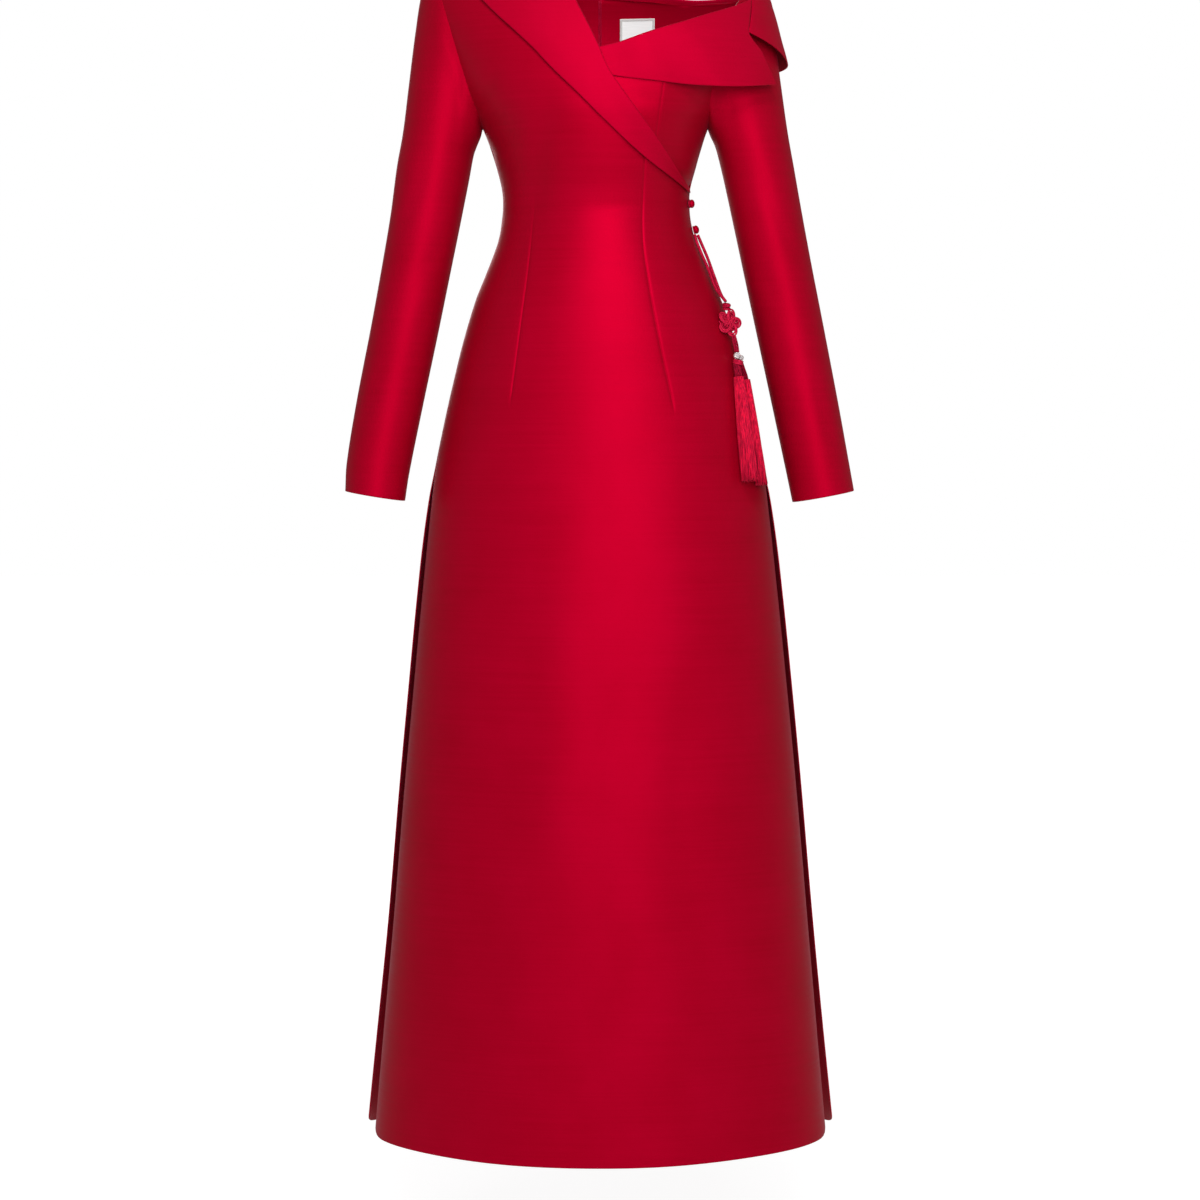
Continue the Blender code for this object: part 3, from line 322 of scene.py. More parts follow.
def curve_at(points, t):
    """Value at t of a smooth curve through rising (t, value) pairs."""
    if t <= points[0][0]:
        return points[0][1]
    if t >= points[-1][0]:
        return points[-1][1]
    i = 0
    while points[i + 1][0] < t:
        i += 1
    (t0, v0), (t1, v1) = points[i], points[i + 1]
    before = points[max(i - 1, 0)]
    after = points[min(i + 2, len(points) - 1)]
    span = t1 - t0
    s0 = (v1 - before[1]) / (t1 - before[0]) * span
    s1 = (after[1] - v0) / (after[0] - t0) * span
    u = (t - t0) / span
    return (v0 * (2 * u**3 - 3 * u**2 + 1) + s0 * (u**3 - 2 * u**2 + u)
            + v1 * (3 * u**2 - 2 * u**3) + s1 * (u**3 - u**2))


def column(table, index):
    return [(row[0], row[index]) for row in table]


def ease(low, high, value):
    """0 below low, 1 above high, smooth between."""
    u = min(1.0, max(0.0, (value - low) / (high - low)))
    return u * u * (3.0 - 2.0 * u)


def mix(a, b, share):
    return a + (b - a) * share


def spread(low, high, count):
    return [mix(low, high, k / count) for k in range(count + 1)]


BODY_RIGHT = column(BODY, 1)
BODY_LEFT = column(BODY, 2)
BODY_FRONT = column(BODY, 3)
BODY_BACK = column(BODY, 4)
HULL_LEFT = column(HULL, 1)
HULL_FRONT = column(HULL, 2)
HULL_BACK = column(HULL, 3)


def height_at(x, level):
    if level <= 0.0:
        return CHEST_Z + level
    rise = math.sin(level / ARC * math.pi / 2)
    return CHEST_Z + (curve_at(SHOULDER, x) - CHEST_Z) * rise


def level_at(x, z):
    if z <= CHEST_Z:
        return z - CHEST_Z
    rise = (z - CHEST_Z) / (curve_at(SHOULDER, x) - CHEST_Z)
    return ARC * math.asin(min(1.0, rise)) * 2 / math.pi


def closing(level):
    return 1.0 if level <= 0.0 else math.cos(level / ARC * math.pi / 2)


def half_width(x_sign, level, side):
    half = curve_at(BODY_LEFT if x_sign > 0 else BODY_RIGHT, level)
    return half + (curve_at(BACK_EXTRA, level) if side == BACK else 0.0)


def flute(turn, level):
    depth = 5.0 * ease(-430.0, -1250.0, level)
    return depth * (math.cos(4.0 * turn + 0.5) * 0.7 + math.cos(7.0 * turn - 0.8) * 0.3) * math.sin(turn)


def body_point(side, turn, level):
    """Point of the cloth's outer face; turn runs from the wearer's right seam, 0, to the left, pi."""
    across = -math.cos(turn)
    power = 2.0 / OVAL
    x = math.copysign(abs(across) ** power, across) * half_width(across, level, side)
    depth = curve_at(BODY_FRONT if side == FRONT else BODY_BACK, level) + flute(turn, level)
    y = depth * closing(level) * max(0.0, math.sin(turn)) ** power
    y += SEAM / 2 + SLIT_HALF * ease(SLIT_TOP, BODY[0][0], level)
    return Vector((x, side * y, height_at(x, level)))


def turn_at(x, level, side):
    ratio = min(1.0, abs(x) / half_width(x, level, side)) ** (OVAL / 2.0)
    return math.acos(-math.copysign(ratio, x))


def body_normal(side, turn, level):
    low_turn = max(0.0, turn - 0.01)
    high_turn = min(math.pi, turn + 0.01)
    low_level = min(level, ARC - 1.0) - 1.0
    high_level = min(level + 1.0, ARC)
    around = body_point(side, high_turn, level) - body_point(side, low_turn, level)
    up = body_point(side, turn, high_level) - body_point(side, turn, low_level)
    return (around.cross(up) * -side).normalized()


def hollow(across, along, lean, half_length, broad, height):
    """A soft trough or ridge that thins out towards its ends."""
    angle = math.radians(lean)
    run = across * math.cos(angle) + along * math.sin(angle)
    if abs(run) >= half_length:
        return 0.0
    off = -across * math.sin(angle) + along * math.cos(angle)
    off += 0.10 * run * run / half_length
    if abs(off) > 3.0 * broad:
        return 0.0
    fade = 1.0 - ease(0.25, 1.0, abs(run) / half_length)
    return height * fade * math.exp(-(off / broad) ** 2)


def body_crease(side, x, level):
    total = 0.0
    for own_side, x0, level0, lean, length, width, height in BODY_CREASES:
        if own_side == side and abs(x - x0) < length + 40.0 and abs(level - level0) < length + 40.0:
            total += hollow(x - x0, level - level0, lean, length, width, height)
    return total


def off_body(side, x, level, lift):
    """A point above the cloth at x and level, moved out by lift."""
    turn = turn_at(x, level, side)
    rise = lift + body_crease(side, x, level) * 0.6
    return body_point(side, turn, level) + body_normal(side, turn, level) * rise


def fold_x(level):
    return curve_at(FOLD, level)


def armhole_x(arm, level):
    low_x, top_x, top_z, bow = ARMHOLE[arm]
    low_z = CHEST_Z + ARMPIT
    if level <= 0.0:
        z = CHEST_Z + level
    else:
        z = CHEST_Z + (top_z - CHEST_Z) * math.sin(level / ARC * math.pi / 2)
    share = (z - low_z) / (top_z - low_z)
    return mix(low_x, top_x, share) + bow * 4.0 * share * (1.0 - share)


def hem_level(turn):
    across = abs(math.cos(turn))
    depth = BODY_FRONT[0][1] * math.sin(turn)
    short = min(1.0, max(0.0, 1.0 - depth / HEM_CORNER))
    corner = HEM_CORNER_RISE * (1.0 - math.sqrt(1.0 - short * short))
    sag = HEM_DROP * (1.0 - across * across)
    return HEM_SIDE_Z - CHEST_Z - sag + corner


def hull_point(turn, z):
    power = 2.0 / HULL_OVAL
    x = curve_at(HULL_LEFT, z) * max(0.0, math.cos(turn)) ** power
    depth = curve_at(HULL_FRONT if turn < 0 else HULL_BACK, z)
    return Vector((x, math.copysign(depth * abs(math.sin(turn)) ** power, turn), z))


def clear_of_body(point, side, lift):
    level = level_at(point.x, point.z)
    if abs(point.x) >= half_width(point.x, level, side) - 0.5:
        return point
    body = abs(body_point(side, turn_at(point.x, level, side), level).y) + lift
    own = abs(point.y)
    depth = (body + own + math.sqrt((body - own) ** 2 + BLEND)) / 2.0
    return Vector((point.x, side * depth, point.z))


def hull_turn(x, z):
    return math.acos(min(1.0, x / curve_at(HULL_LEFT, z)))


def halved(low, high, goes_on):
    """The two ends, brought together at the place where goes_on stops being true."""
    for _ in range(HALVINGS):
        middle = (low + high) / 2
        if goes_on(middle):
            low = middle
        else:
            high = middle
    return low, high


def lie_on_skirt(x, z, off):
    """The place at x and z whose distance from the cloth of the left hip is off."""
    level = z - CHEST_Z

    def beside(turn):
        return body_point(FRONT, turn, level) + body_normal(FRONT, turn, level) * off

    point = beside(halved(math.pi / 2, math.pi, lambda turn: beside(turn).x < x)[0])
    return Vector((max(x, point.x), point.y, z))


def smooth_route(points, count):
    """Evenly stepped points on a smooth curve through a route's own points."""
    keys = [0.0]
    for a, b in zip(points, points[1:]):
        keys.append(keys[-1] + (b - a).length)
    axes = [[(t, p[axis]) for t, p in zip(keys, points)] for axis in range(3)]
    return [Vector([curve_at(axis, keys[-1] * k / count) for axis in axes]) for k in range(count + 1)]


def chance(seed):
    """A repeatable number from 0 to 1."""
    value = math.sin(seed * 12.9898) * 43758.5453
    return value - math.floor(value)


def make_camera():
    lens = bpy.data.cameras.new("camera")
    lens.sensor_width = SENSOR
    lens.lens = LENS
    eye = bpy.data.objects.new("camera", lens)
    eye.location = EYE
    eye.rotation_euler = (math.radians(90.0 - PITCH_DOWN), 0.0, 0.0)
    bpy.context.scene.collection.objects.link(eye)
    bpy.context.scene.camera = eye


def new_material(name, color, roughness):
    material = bpy.data.materials.new(name)
    material.use_nodes = True
    shader = material.node_tree.nodes["Principled BSDF"]
    shader.inputs["Base Color"].default_value = (*color, 1.0)
    shader.inputs["Roughness"].default_value = roughness
    return material, material.node_tree, shader


def noise_on(tree, scale, detail):
    """A noise stretched over the object's own space, in features per metre along x, y and z."""
    place = tree.nodes.new("ShaderNodeTexCoord")
    mapping = tree.nodes.new("ShaderNodeMapping")
    mapping.inputs["Scale"].default_value = scale
    noise = tree.nodes.new("ShaderNodeTexNoise")
    noise.inputs["Scale"].default_value = 1.0
    noise.inputs["Detail"].default_value = detail
    tree.links.new(place.outputs["Object"], mapping.inputs["Vector"])
    tree.links.new(mapping.outputs["Vector"], noise.inputs["Vector"])
    return noise.outputs["Fac"]


def color_between(tree, shader, factor, low, high):
    ramp = tree.nodes.new("ShaderNodeValToRGB")
    ramp.color_ramp.elements[0].position = 0.32
    ramp.color_ramp.elements[0].color = (*low, 1.0)
    ramp.color_ramp.elements[1].position = 0.68
    ramp.color_ramp.elements[1].color = (*high, 1.0)
    tree.links.new(factor, ramp.inputs["Fac"])
    tree.links.new(ramp.outputs["Color"], shader.inputs["Base Color"])


def ranged(tree, factor, from_range, to_range):
    """An output brought from one range into another."""
    span = tree.nodes.new("ShaderNodeMapRange")
    span.inputs["From Min"].default_value, span.inputs["From Max"].default_value = from_range
    span.inputs["To Min"].default_value, span.inputs["To Max"].default_value = to_range
    tree.links.new(factor, span.inputs["Value"])
    return span.outputs["Result"]


def range_into(tree, factor, low, high, socket):
    tree.links.new(ranged(tree, factor, (0.3, 0.7), (low, high)), socket)


def reckon(tree, operation, first, second):
    """A math node on an output and another output or a number."""
    sum_node = tree.nodes.new("ShaderNodeMath")
    sum_node.operation = operation
    tree.links.new(first, sum_node.inputs[0])
    if isinstance(second, float):
        sum_node.inputs[1].default_value = second
    else:
        tree.links.new(second, sum_node.inputs[1])
    return sum_node.outputs["Value"]


def bump_from(tree, shader, heights):
    """Chain bumps, given as (height output, strength, distance), into the shader's normal."""
    last = None
    for height, strength, distance in heights:
        bump = tree.nodes.new("ShaderNodeBump")
        bump.inputs["Strength"].default_value = strength
        bump.inputs["Distance"].default_value = distance
        tree.links.new(height, bump.inputs["Height"])
        if last:
            tree.links.new(last.outputs["Normal"], bump.inputs["Normal"])
        last = bump
    tree.links.new(last.outputs["Normal"], shader.inputs["Normal"])


def satin(name, low, high, grain=(7.0, 7.0, 460.0), rough=(0.43, 0.49)):
    """Heavy silk satin with long weft slubs and a fine close weave."""
    material, tree, shader = new_material(name, high, 0.4)
    shader.inputs["Metallic"].default_value = 0.25
    shader.inputs["Specular IOR Level"].default_value = 0.9
    shader.inputs["Specular Tint"].default_value = (1.0, 0.0, 0.06, 1.0)
    shader.inputs["IOR"].default_value = 1.5
    shader.inputs["Sheen Weight"].default_value = 0.05
    shader.inputs["Sheen Roughness"].default_value = 0.3
    shader.inputs["Sheen Tint"].default_value = (1.0, 0.2, 0.35, 1.0)
    slub = noise_on(tree, grain, 3.0)
    cloud = noise_on(tree, (16.0, 16.0, 11.0), 2.0)
    weave = noise_on(tree, (2100.0, 2100.0, 3200.0), 1.0)
    tint = reckon(tree, "MULTIPLY", reckon(tree, "ADD", slub, cloud), 0.5)
    color_between(tree, shader, tint, low, high)
    range_into(tree, slub, rough[0], rough[1], shader.inputs["Roughness"])
    bump_from(tree, shader, ((slub, 0.06, 0.0003), (weave, 0.10, 0.0002)))
    return material


def thread(name, low, high, roughness, turns, length_turns):
    """Silky twisted thread or cord, with colour features per metre across and along it."""
    material, tree, shader = new_material(name, high, roughness)
    shader.inputs["Specular Tint"].default_value = (1.0, 0.1, 0.2, 1.0)
    shader.inputs["Sheen Weight"].default_value = 0.08
    shader.inputs["Sheen Tint"].default_value = (1.0, 0.2, 0.35, 1.0)
    ply = noise_on(tree, (turns, turns, length_turns), 2.0)
    color_between(tree, shader, ply, low, high)
    bump_from(tree, shader, ((ply, 0.5, 0.0003),))
    return material


def link_mesh(name, verts, faces, material, smooth=True):
    mesh = bpy.data.meshes.new(name)
    mesh.from_pydata([tuple(v * MM) for v in verts], [], faces)
    mesh.validate()
    if smooth:
        mesh.shade_smooth()
    mesh.materials.append(material)
    item = bpy.data.objects.new(name, mesh)
    bpy.context.scene.collection.objects.link(item)
    return item


def grid_normals(grid, around, outward):
    """Normals of a grid of points; outward is 1 or -1."""
    rows = len(grid)
    normals = []
    for i, row in enumerate(grid):
        below = grid[max(i - 1, 0)]
        above = grid[min(i + 1, rows - 1)]
        count = len(row)
        line = []
        for j in range(count):
            if around:
                run = row[(j + 1) % count] - row[j - 1]
            else:
                run = row[min(j + 1, count - 1)] - row[max(j - 1, 0)]
            normal = run.cross(above[j] - below[j]) * outward
            if normal.length < 1e-9:
                normal = line[-1] if line else Vector((0.0, -1.0, 0.0))
            line.append(normal.normalized())
        normals.append(line)
    return normals


def shell(name, grid, outward, material, thick=1.3, around=False, normals=None):
    """A thin closed sheet on a grid of points, with rounded edges; rows may run all round."""
    if normals is None:
        normals = grid_normals(grid, around, outward)
    rows = len(grid)
    columns = len(grid[0])
    verts = [p for row in grid for p in row]
    verts += [p - n * thick for row, line in zip(grid, normals) for p, n in zip(row, line)]
    under = rows * columns
    spans = columns if around else columns - 1
    faces = []

    def quad(a, b, c, d):
        faces.append((a, b, c, d) if outward > 0 else (d, c, b, a))

    for i in range(rows - 1):
        for j in range(spans):
            k = (j + 1) % columns
            a, b, c, d = i * columns + j, i * columns + k, (i + 1) * columns + k, (i + 1) * columns + j
            quad(a, b, c, d)
            quad(under + d, under + c, under + b, under + a)

    def edge_loop(cells):
        """Round the edge through cells, given as (row, column, row inside, column inside)."""
        rings = [[i * columns + j for i, j, _, _ in cells]]
        for angle in (0.25 * math.pi, 0.5 * math.pi, 0.75 * math.pi):
            ring = []
            for i, j, inner_i, inner_j in cells:
                out = grid[i][j] - grid[inner_i][inner_j]
                normal = normals[i][j]
                out = out - normal * out.dot(normal)
                out = out.normalized() if out.length > 1e-6 else Vector()
                middle = grid[i][j] - normal * (thick / 2)
                verts.append(middle + (normal * math.cos(angle) + out * math.sin(angle)) * (thick / 2))
                ring.append(len(verts) - 1)
            rings.append(ring)
        rings.append([under + i * columns + j for i, j, _, _ in cells])
        count = len(cells)
        for upper, lower in zip(rings, rings[1:]):
            for k in range(count):
                n = (k + 1) % count
                quad(upper[n], upper[k], lower[k], lower[n])

    last_row, last_column = rows - 1, columns - 1
    if around:
        edge_loop([(0, j, 1, j) for j in range(columns)])
        edge_loop([(last_row, columns - 1 - j, last_row - 1, columns - 1 - j) for j in range(columns)])
    else:
        loop = [(0, j, 1, j + (1 if j == 0 else 0)) for j in range(last_column)]
        loop += [(i, last_column, i + (1 if i == 0 else 0), last_column - 1) for i in range(last_row)]
        loop += [(last_row, j, last_row - 1, j - (1 if j == last_column else 0))
                 for j in range(last_column, 0, -1)]
        loop += [(i, 0, i - (1 if i == last_row else 0), 1) for i in range(last_row, 0, -1)]
        edge_loop(loop)
    return link_mesh(name, verts, faces, material)


def tubes(name, routes, radius, sides, material):
    """Many thin round threads in one mesh, each along its own points."""
    verts = []
    faces = []
    for route in routes:
        start = len(verts)
        for k, point in enumerate(route):
            ahead = route[min(k + 1, len(route) - 1)] - route[max(k - 1, 0)]
            ahead.normalize()
            side = ahead.cross(Vector((0.0, 1.0, 0.0)))
            if side.length < 0.1:
                side = ahead.cross(Vector((1.0, 0.0, 0.0)))
            side.normalize()
            other = ahead.cross(side)
            for s in range(sides):
                angle = 2 * math.pi * s / sides
                verts.append(point + (side * math.cos(angle) + other * math.sin(angle)) * radius)
        count = len(route)
        for k in range(count - 1):
            for s in range(sides):
                n = (s + 1) % sides
                a = start + k * sides
                faces.append((a + s, a + n, a + sides + n, a + sides + s))
        faces.append(tuple(start + s for s in range(sides - 1, -1, -1)))
        faces.append(tuple(start + (count - 1) * sides + s for s in range(sides)))
    return link_mesh(name, verts, faces, material)


def turned(name, centre, axis, profile, sides, material, ripple=None, smooth=True):
    """A turned form about an axis; profile is (distance along, radius)."""
    axis = axis.normalized()
    side = axis.cross(Vector((0.0, 1.0, 0.0)))
    if side.length < 0.2:
        side = axis.cross(Vector((1.0, 0.0, 0.0)))
    side.normalize()
    other = axis.cross(side)
    verts = []
    faces = []
    for k, (along, radius) in enumerate(profile):
        for s in range(sides):
            angle = 2 * math.pi * s / sides
            size = radius * (ripple(k, angle) if ripple else 1.0)
            verts.append(centre + axis * along + (side * math.cos(angle) + other * math.sin(angle)) * size)
    for k in range(len(profile) - 1):
        for s in range(sides):
            n = (s + 1) % sides
            faces.append((k * sides + s, k * sides + n, (k + 1) * sides + n, (k + 1) * sides + s))
    faces.append(tuple(range(sides - 1, -1, -1)))
    faces.append(tuple((len(profile) - 1) * sides + s for s in range(sides)))
    return link_mesh(name, verts, faces, material, smooth)


def finish_piece(item, slot_name, *nodes):
    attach(item, "root")
    if nodes:
        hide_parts(*nodes)
    return item


def row_turns(side, level, start, end, seams, fills):
    """Turns of one row: close together at its edges and beside each seam, even between them."""
    def step(turn):
        a = body_point(side, max(0.0, turn - 0.01), level)
        b = body_point(side, min(math.pi, turn + 0.01), level)
        return 0.02 / max((b - a).length, 0.4)

    clusters = [[start + step(start) * s for s in EDGE_STEPS]]
    for seam in seams:
        clusters.append([seam + step(seam) * s for s in SEAM_STEPS])
    clusters.append([end - step(end) * s for s in reversed(EDGE_STEPS)])
    turns = list(clusters[0])
    for cluster, fill in zip(clusters[1:], fills):
        low, high = turns[-1], cluster[0]
        turns += [mix(low, high, (k + 1) / (fill + 1)) for k in range(fill)]
        turns += cluster
    return [min(math.pi, max(0.0, t)) for t in turns]


def groove(distance, depth, width=0.9):
    return -depth * (math.exp(-(distance / width) ** 2) + 0.35 * math.exp(-(distance / (3.2 * width)) ** 2))


def body_cloth(name, side, levels, span, seams, fills, depth_at, offset, material):
    """A fine sheet over the body: seams are functions of level, depth_at fades each along its length."""
    grid = []
    for level in levels:
        hem_share = None
        base = level
        if isinstance(level, tuple):
            hem_share = level[0]
            base = LAST_LEVEL
        start, end = span(base)
        seam_turns = [turn_at(seam(base), base, side) for seam in seams]
        turns = row_turns(side, base, start, end, seam_turns, fills)
        row = []
        for turn in turns:
            here = base if hem_share is None else mix(LAST_LEVEL, hem_level(turn), hem_share)
            point = body_point(side, turn, here)
            rise = body_crease(side, point.x, here)
            for k, seam in enumerate(seams):
                away = point.x - seam(here)
                if abs(away) < 12.0:
                    rise += groove(away, depth_at(k, here))
            if offset:
                rise -= offset(point.x, here)
            row.append(point + body_normal(side, turn, here) * rise)
        grid.append(row)
    return shell(name, grid, -side, material)


def panel_levels():
    hem = [(share,) for share in (1.0, 0.994, 0.985, 0.97, 0.94, 0.88, 0.76, 0.64, 0.5, 0.36, 0.24, 0.12)]
    return hem + spread(LAST_LEVEL, HIP_LEVEL, 62) + spread(HIP_LEVEL + 6.0, ARMPIT - 4.0, 92) \
        + spread(ARMPIT, ARC, 72)


def arm_turn(arm, level, side):
    return turn_at(armhole_x(arm, level), level, side)


def make_front(material):
    def span(level):
        start = 0.0 if level <= ARMPIT else arm_turn("right", level, FRONT)
        end = math.pi if level <= WRAP_END else turn_at(fold_x(level), level, FRONT)
        return start, end

    def right_dart(level):
        dart = curve_at(DART_RIGHT, level)
        if level >= 0.0:
            return min(dart, fold_x(level) - 46.0)
        return max(dart, armhole_x("right", level) + 14.0) if level > ARMPIT else dart

    def left_dart(level):
        dart = curve_at(DART_LEFT, level)
        return min(dart, fold_x(level) - 16.0) if level > WRAP_END else dart

    def depth(k, level):
        if k == 0:
            return 0.75 * ease(-404.0, -380.0, level) * (1.0 - ease(-235.0, -150.0, level))
        return 0.85 * ease(-410.0, -385.0, level) * (1.0 - 0.35 * ease(-260.0, -160.0, level))

    return body_cloth("front_cloth", FRONT, panel_levels(), span, (right_dart, left_dart), (20, 30, 18),
                      depth, None, material)


def neck_x(level, near_right):
    low, high = (NECKLINE[0][0], 0.0) if near_right else (NECKLINE[-1][0], 48.0)
    return halved(low, high, lambda x: curve_at(NECKLINE, x) > level)[1]


def make_back(arm, material):
    sign = -1.0 if arm == "right" else 1.0

    def span(level):
        outer = armhole_x(arm, level)
        if arm == "right":
            inner = -SEAM / 2 if level <= NECK_LOW else neck_x(level, True)
            return (0.0 if level <= ARMPIT else turn_at(outer, level, BACK)), turn_at(inner, level, BACK)
        inner = SEAM / 2 if level <= NECK_LOW else min(neck_x(level, False), outer - TIP_WIDTH)
        return turn_at(inner, level, BACK), (math.pi if level <= ARMPIT else turn_at(outer, level, BACK))

    def dart(level):
        start, end = span(level)
        x_low = body_point(BACK, start, level).x
        x_high = body_point(BACK, end, level).x
        middle = (x_low + x_high) / 2
        share = ease(60.0, 150.0, level)
        return mix(sign * curve_at(BACK_DART, level), middle, share)

    def depth(_, level):
        return 0.8 * ease(-372.0, -330.0, level) * (1.0 - ease(-20.0, 30.0, level))

    return body_cloth("back_" + arm + "_cloth", BACK, panel_levels(), span, (dart,), (20, 20),
                      depth, None, material)


def tuck_under(x, level):
    deep = mix(TUCK_LOW, TUCK_UNDER, ease(-75.0, -45.0, level))
    ramp = mix(9.0, 62.0, ease(WRAP_END, -70.0, level))
    return deep * (1.0 - ease(4.0, ramp, x - fold_x(level)))


def band_top_x(level):
    return halved(-60.0, 186.0, lambda x: height_at(x, level) > curve_at(BAND_TOP, x) - 4.0)[1]


def make_front_under(material):
    def span(level):
        seam = math.pi if level <= ARMPIT else arm_turn("left", level, FRONT)
        left_x = fold_x(level) - UNDER_WIDTH
        if level > 0.0:
            left_x = max(left_x, band_top_x(level))
        if level > ARMPIT:
            left_x = min(left_x, armhole_x("left", level) - 5.0)
        return turn_at(left_x, level, FRONT), seam

    def princess(level):
        start, end = span(level)
        low = body_point(FRONT, start, level).x
        high = body_point(FRONT, end, level).x
        return min(high - (high - low) * 0.25, max(low + (high - low) * 0.25, curve_at(PRINCESS, level)))

    def facet(x, level):
        roof = 2.2 * math.exp(-(abs(x - princess(level)) / 16.0)) * ease(-130.0, -80.0, level)
        return tuck_under(x, level) - roof

    return body_cloth("front_under_cloth", FRONT, spread(-143.0, UNDER_TOP, 84), span, (princess,), (16, 16),
                      lambda _, level: 0.5, facet, material)


def sleeve_outline(row, share):
    """A point of a sleeve's ring; share runs from the under-arm over the front, top and back."""
    up = 2.0 * share if share <= 0.5 else 2.0 * (1.0 - share)
    facing = FRONT if share <= 0.5 else BACK
    level = mix(ARMPIT, ARC, (1.0 - math.cos(up * math.pi)) / 2)
    height = (level - ARMPIT) / (ARC - ARMPIT)
    under = Vector((row[0], 0.0, row[1]))
    over = Vector((row[2], 0.0, row[3]))
    depth = row[4] * 2.0 * math.sqrt(max(0.0, height * (1.0 - height)))
    return under.lerp(over, height) + Vector((0.0, row[5] + facing * depth, 0.0)), level, facing


def make_sleeve(arm, material):
    sign = 1.0 if arm == "left" else -1.0
    table = SLEEVE[arm]
    columns = SLEEVE_COLUMNS
    keys = [0.0]
    for a, b in zip(table, table[1:]):
        length_under = math.hypot(b[0] - a[0], b[1] - a[1])
        length_over = math.hypot(b[2] - a[2], b[3] - a[3])
        keys.append(keys[-1] + (length_under + length_over) / 2)
    tracks = [[(key, row[c]) for key, row in zip(keys, table)] for c in range(7)]
    first = []
    loop = []
    faces_out = []
    for j in range(columns):
        point, level, facing = sleeve_outline(table[0], j / columns)
        first.append(point)
        turn = turn_at(armhole_x(arm, level), level, facing)
        faces_out.append(body_normal(facing, turn, level))
        edge = body_point(facing, turn, level)
        if j in (0, columns // 2):
            edge.y = 0.0
        loop.append(edge)
    rings = []
    along = [0.0, 0.6, 1.6, 3.2, 5.6, 9.0] + spread(13.0, keys[-1] - 4.0, SLEEVE_ROWS)
    along += [keys[-1] - 2.4, keys[-1] - 1.0, keys[-1]]
    for place in along:
        row = [curve_at(track, place) for track in tracks]
        ring = []
        for j in range(columns):
            point = sleeve_outline(row, j / columns)[0]
            point = point + (loop[j] - first[j]) * row[6] + Vector((sign * 0.4, 0.0, 0.0))
            ring.append(point)
        rings.append(ring)
    normals = grid_normals(rings, True, -sign)
    shaped = []
    for place, ring, line in zip(along, rings, normals):
        shaped.append([])
        for j, (point, normal) in enumerate(zip(ring, line)):
            turn = 360.0 * j / columns
            rise = 0.0
            for turn0, along0, lean, length, width, height in SLEEVE_CREASES[arm]:
                gap = (turn - turn0 + 180.0) % 360.0 - 180.0
                rise += hollow(gap * 0.78, place - along0, lean, length, width, height)
            over_arm = ease(60.0, 130.0, min(turn, 360.0 - turn))
            puff = 0.9 * ease(0.0, 7.0, place) * (1.0 - ease(16.0, 46.0, place)) * over_arm
            shaped[-1].append(point + normal * (rise * ease(0.0, 30.0, place) + puff))
    final = grid_normals(shaped, True, -sign)
    for normal in final[0]:
        normal.x = sign * min(0.0, normal.x * sign)
        if normal.length > 1e-6:
            normal.normalize()
    seam = shaped[0]
    for deep, inward in SLEEVE_TUCK:
        step = Vector((-sign * inward, 0.0, 0.0))
        shaped.insert(0, [point - normal * deep + step for point, normal in zip(seam, faces_out)])
        final.insert(0, faces_out)
    return shell("sleeve_" + arm + "_cloth", shaped, -sign, material, around=True, normals=final)


def lapel_lift(share):
    return LIFT_FOLD + (LIFT_EDGE - LIFT_FOLD) * ease(0.2, 1.0, share)


def rolled(row, normal, radius, tail):
    """Points that carry a row's first edge round a fold and back under it, far end first."""
    away = row[0] - row[1]
    away = (away - normal * away.dot(normal)).normalized()
    centre = row[0] - normal * radius
    under = centre - normal * radius
    points = [under - away * tail, under - away * (tail * 0.45)]
    for k in range(7):
        angle = math.pi * (1.0 - k / 7.0)
        points.append(centre + (normal * math.cos(angle) + away * math.sin(angle)) * radius)
    return points


def make_lapel(material):
    edge_level = [(row[0], row[1]) for row in LAPEL_EDGE]
    edge_x = [(row[0], row[2]) for row in LAPEL_EDGE]
    grid = []
    for share in spread(0.0, 1.0, LAPEL_ROWS):
        level = mix(-143.5, ARC, share ** 0.92)
        fine = (0.0, 0.02, 0.05) + tuple(spread(0.1, 0.9, 14)) + (0.94, 0.97, 0.985, 1.0)
        edge_l = curve_at(edge_level, share)
        edge = curve_at(edge_x, share)
        width = math.hypot(edge_l - level, edge - fold_x(level))
        inset = min(0.3, 1.2 / max(width, 1.0))
        row = []
        for share_across in fine:
            w = mix(inset, 1.0, share_across)
            here = mix(level, edge_l, w)
            x = mix(fold_x(level), edge, w)
            puff = 0.7 * math.sin(math.pi * w) * ease(0.0, 0.3, share)
            row.append(off_body(FRONT, x, here, lapel_lift(w) * mix(0.62, 1.0, ease(0.0, 0.1, share)) + puff))
        turn = turn_at(fold_x(level), level, FRONT)
        normal = body_normal(FRONT, turn, level)
        radius = mix(0.65, 2.5, ease(0.0, 0.12, share))
        grid.append(rolled(row, normal, radius, mix(0.4, 7.0, ease(0.0, 0.14, share))) + row)
    return shell("lapel_cloth", grid, -1, material, thick=1.2)


def band_point(x, z):
    level = level_at(x, z)
    away = x - fold_x(level)
    lift = mix(-TUCK_BAND, BAND_LIFT, ease(2.0, 62.0, away))
    free = ease(14.0, 122.0, away)
    near = off_body(FRONT, x, level, lift) if free < 1.0 else Vector()
    far = Vector()
    if free > 0.0:
        far = clear_of_body(hull_point(-hull_turn(max(x, 1.0), z), z), FRONT, BAND_LIFT)
    return near.lerp(far, free)


def across_collar():
    """Shares across a folded collar, closer together at its two edges."""
    return (0.0, 0.015, 0.04) + tuple(spread(0.08, 0.92, 18)) + (0.96, 0.985, 1.0)


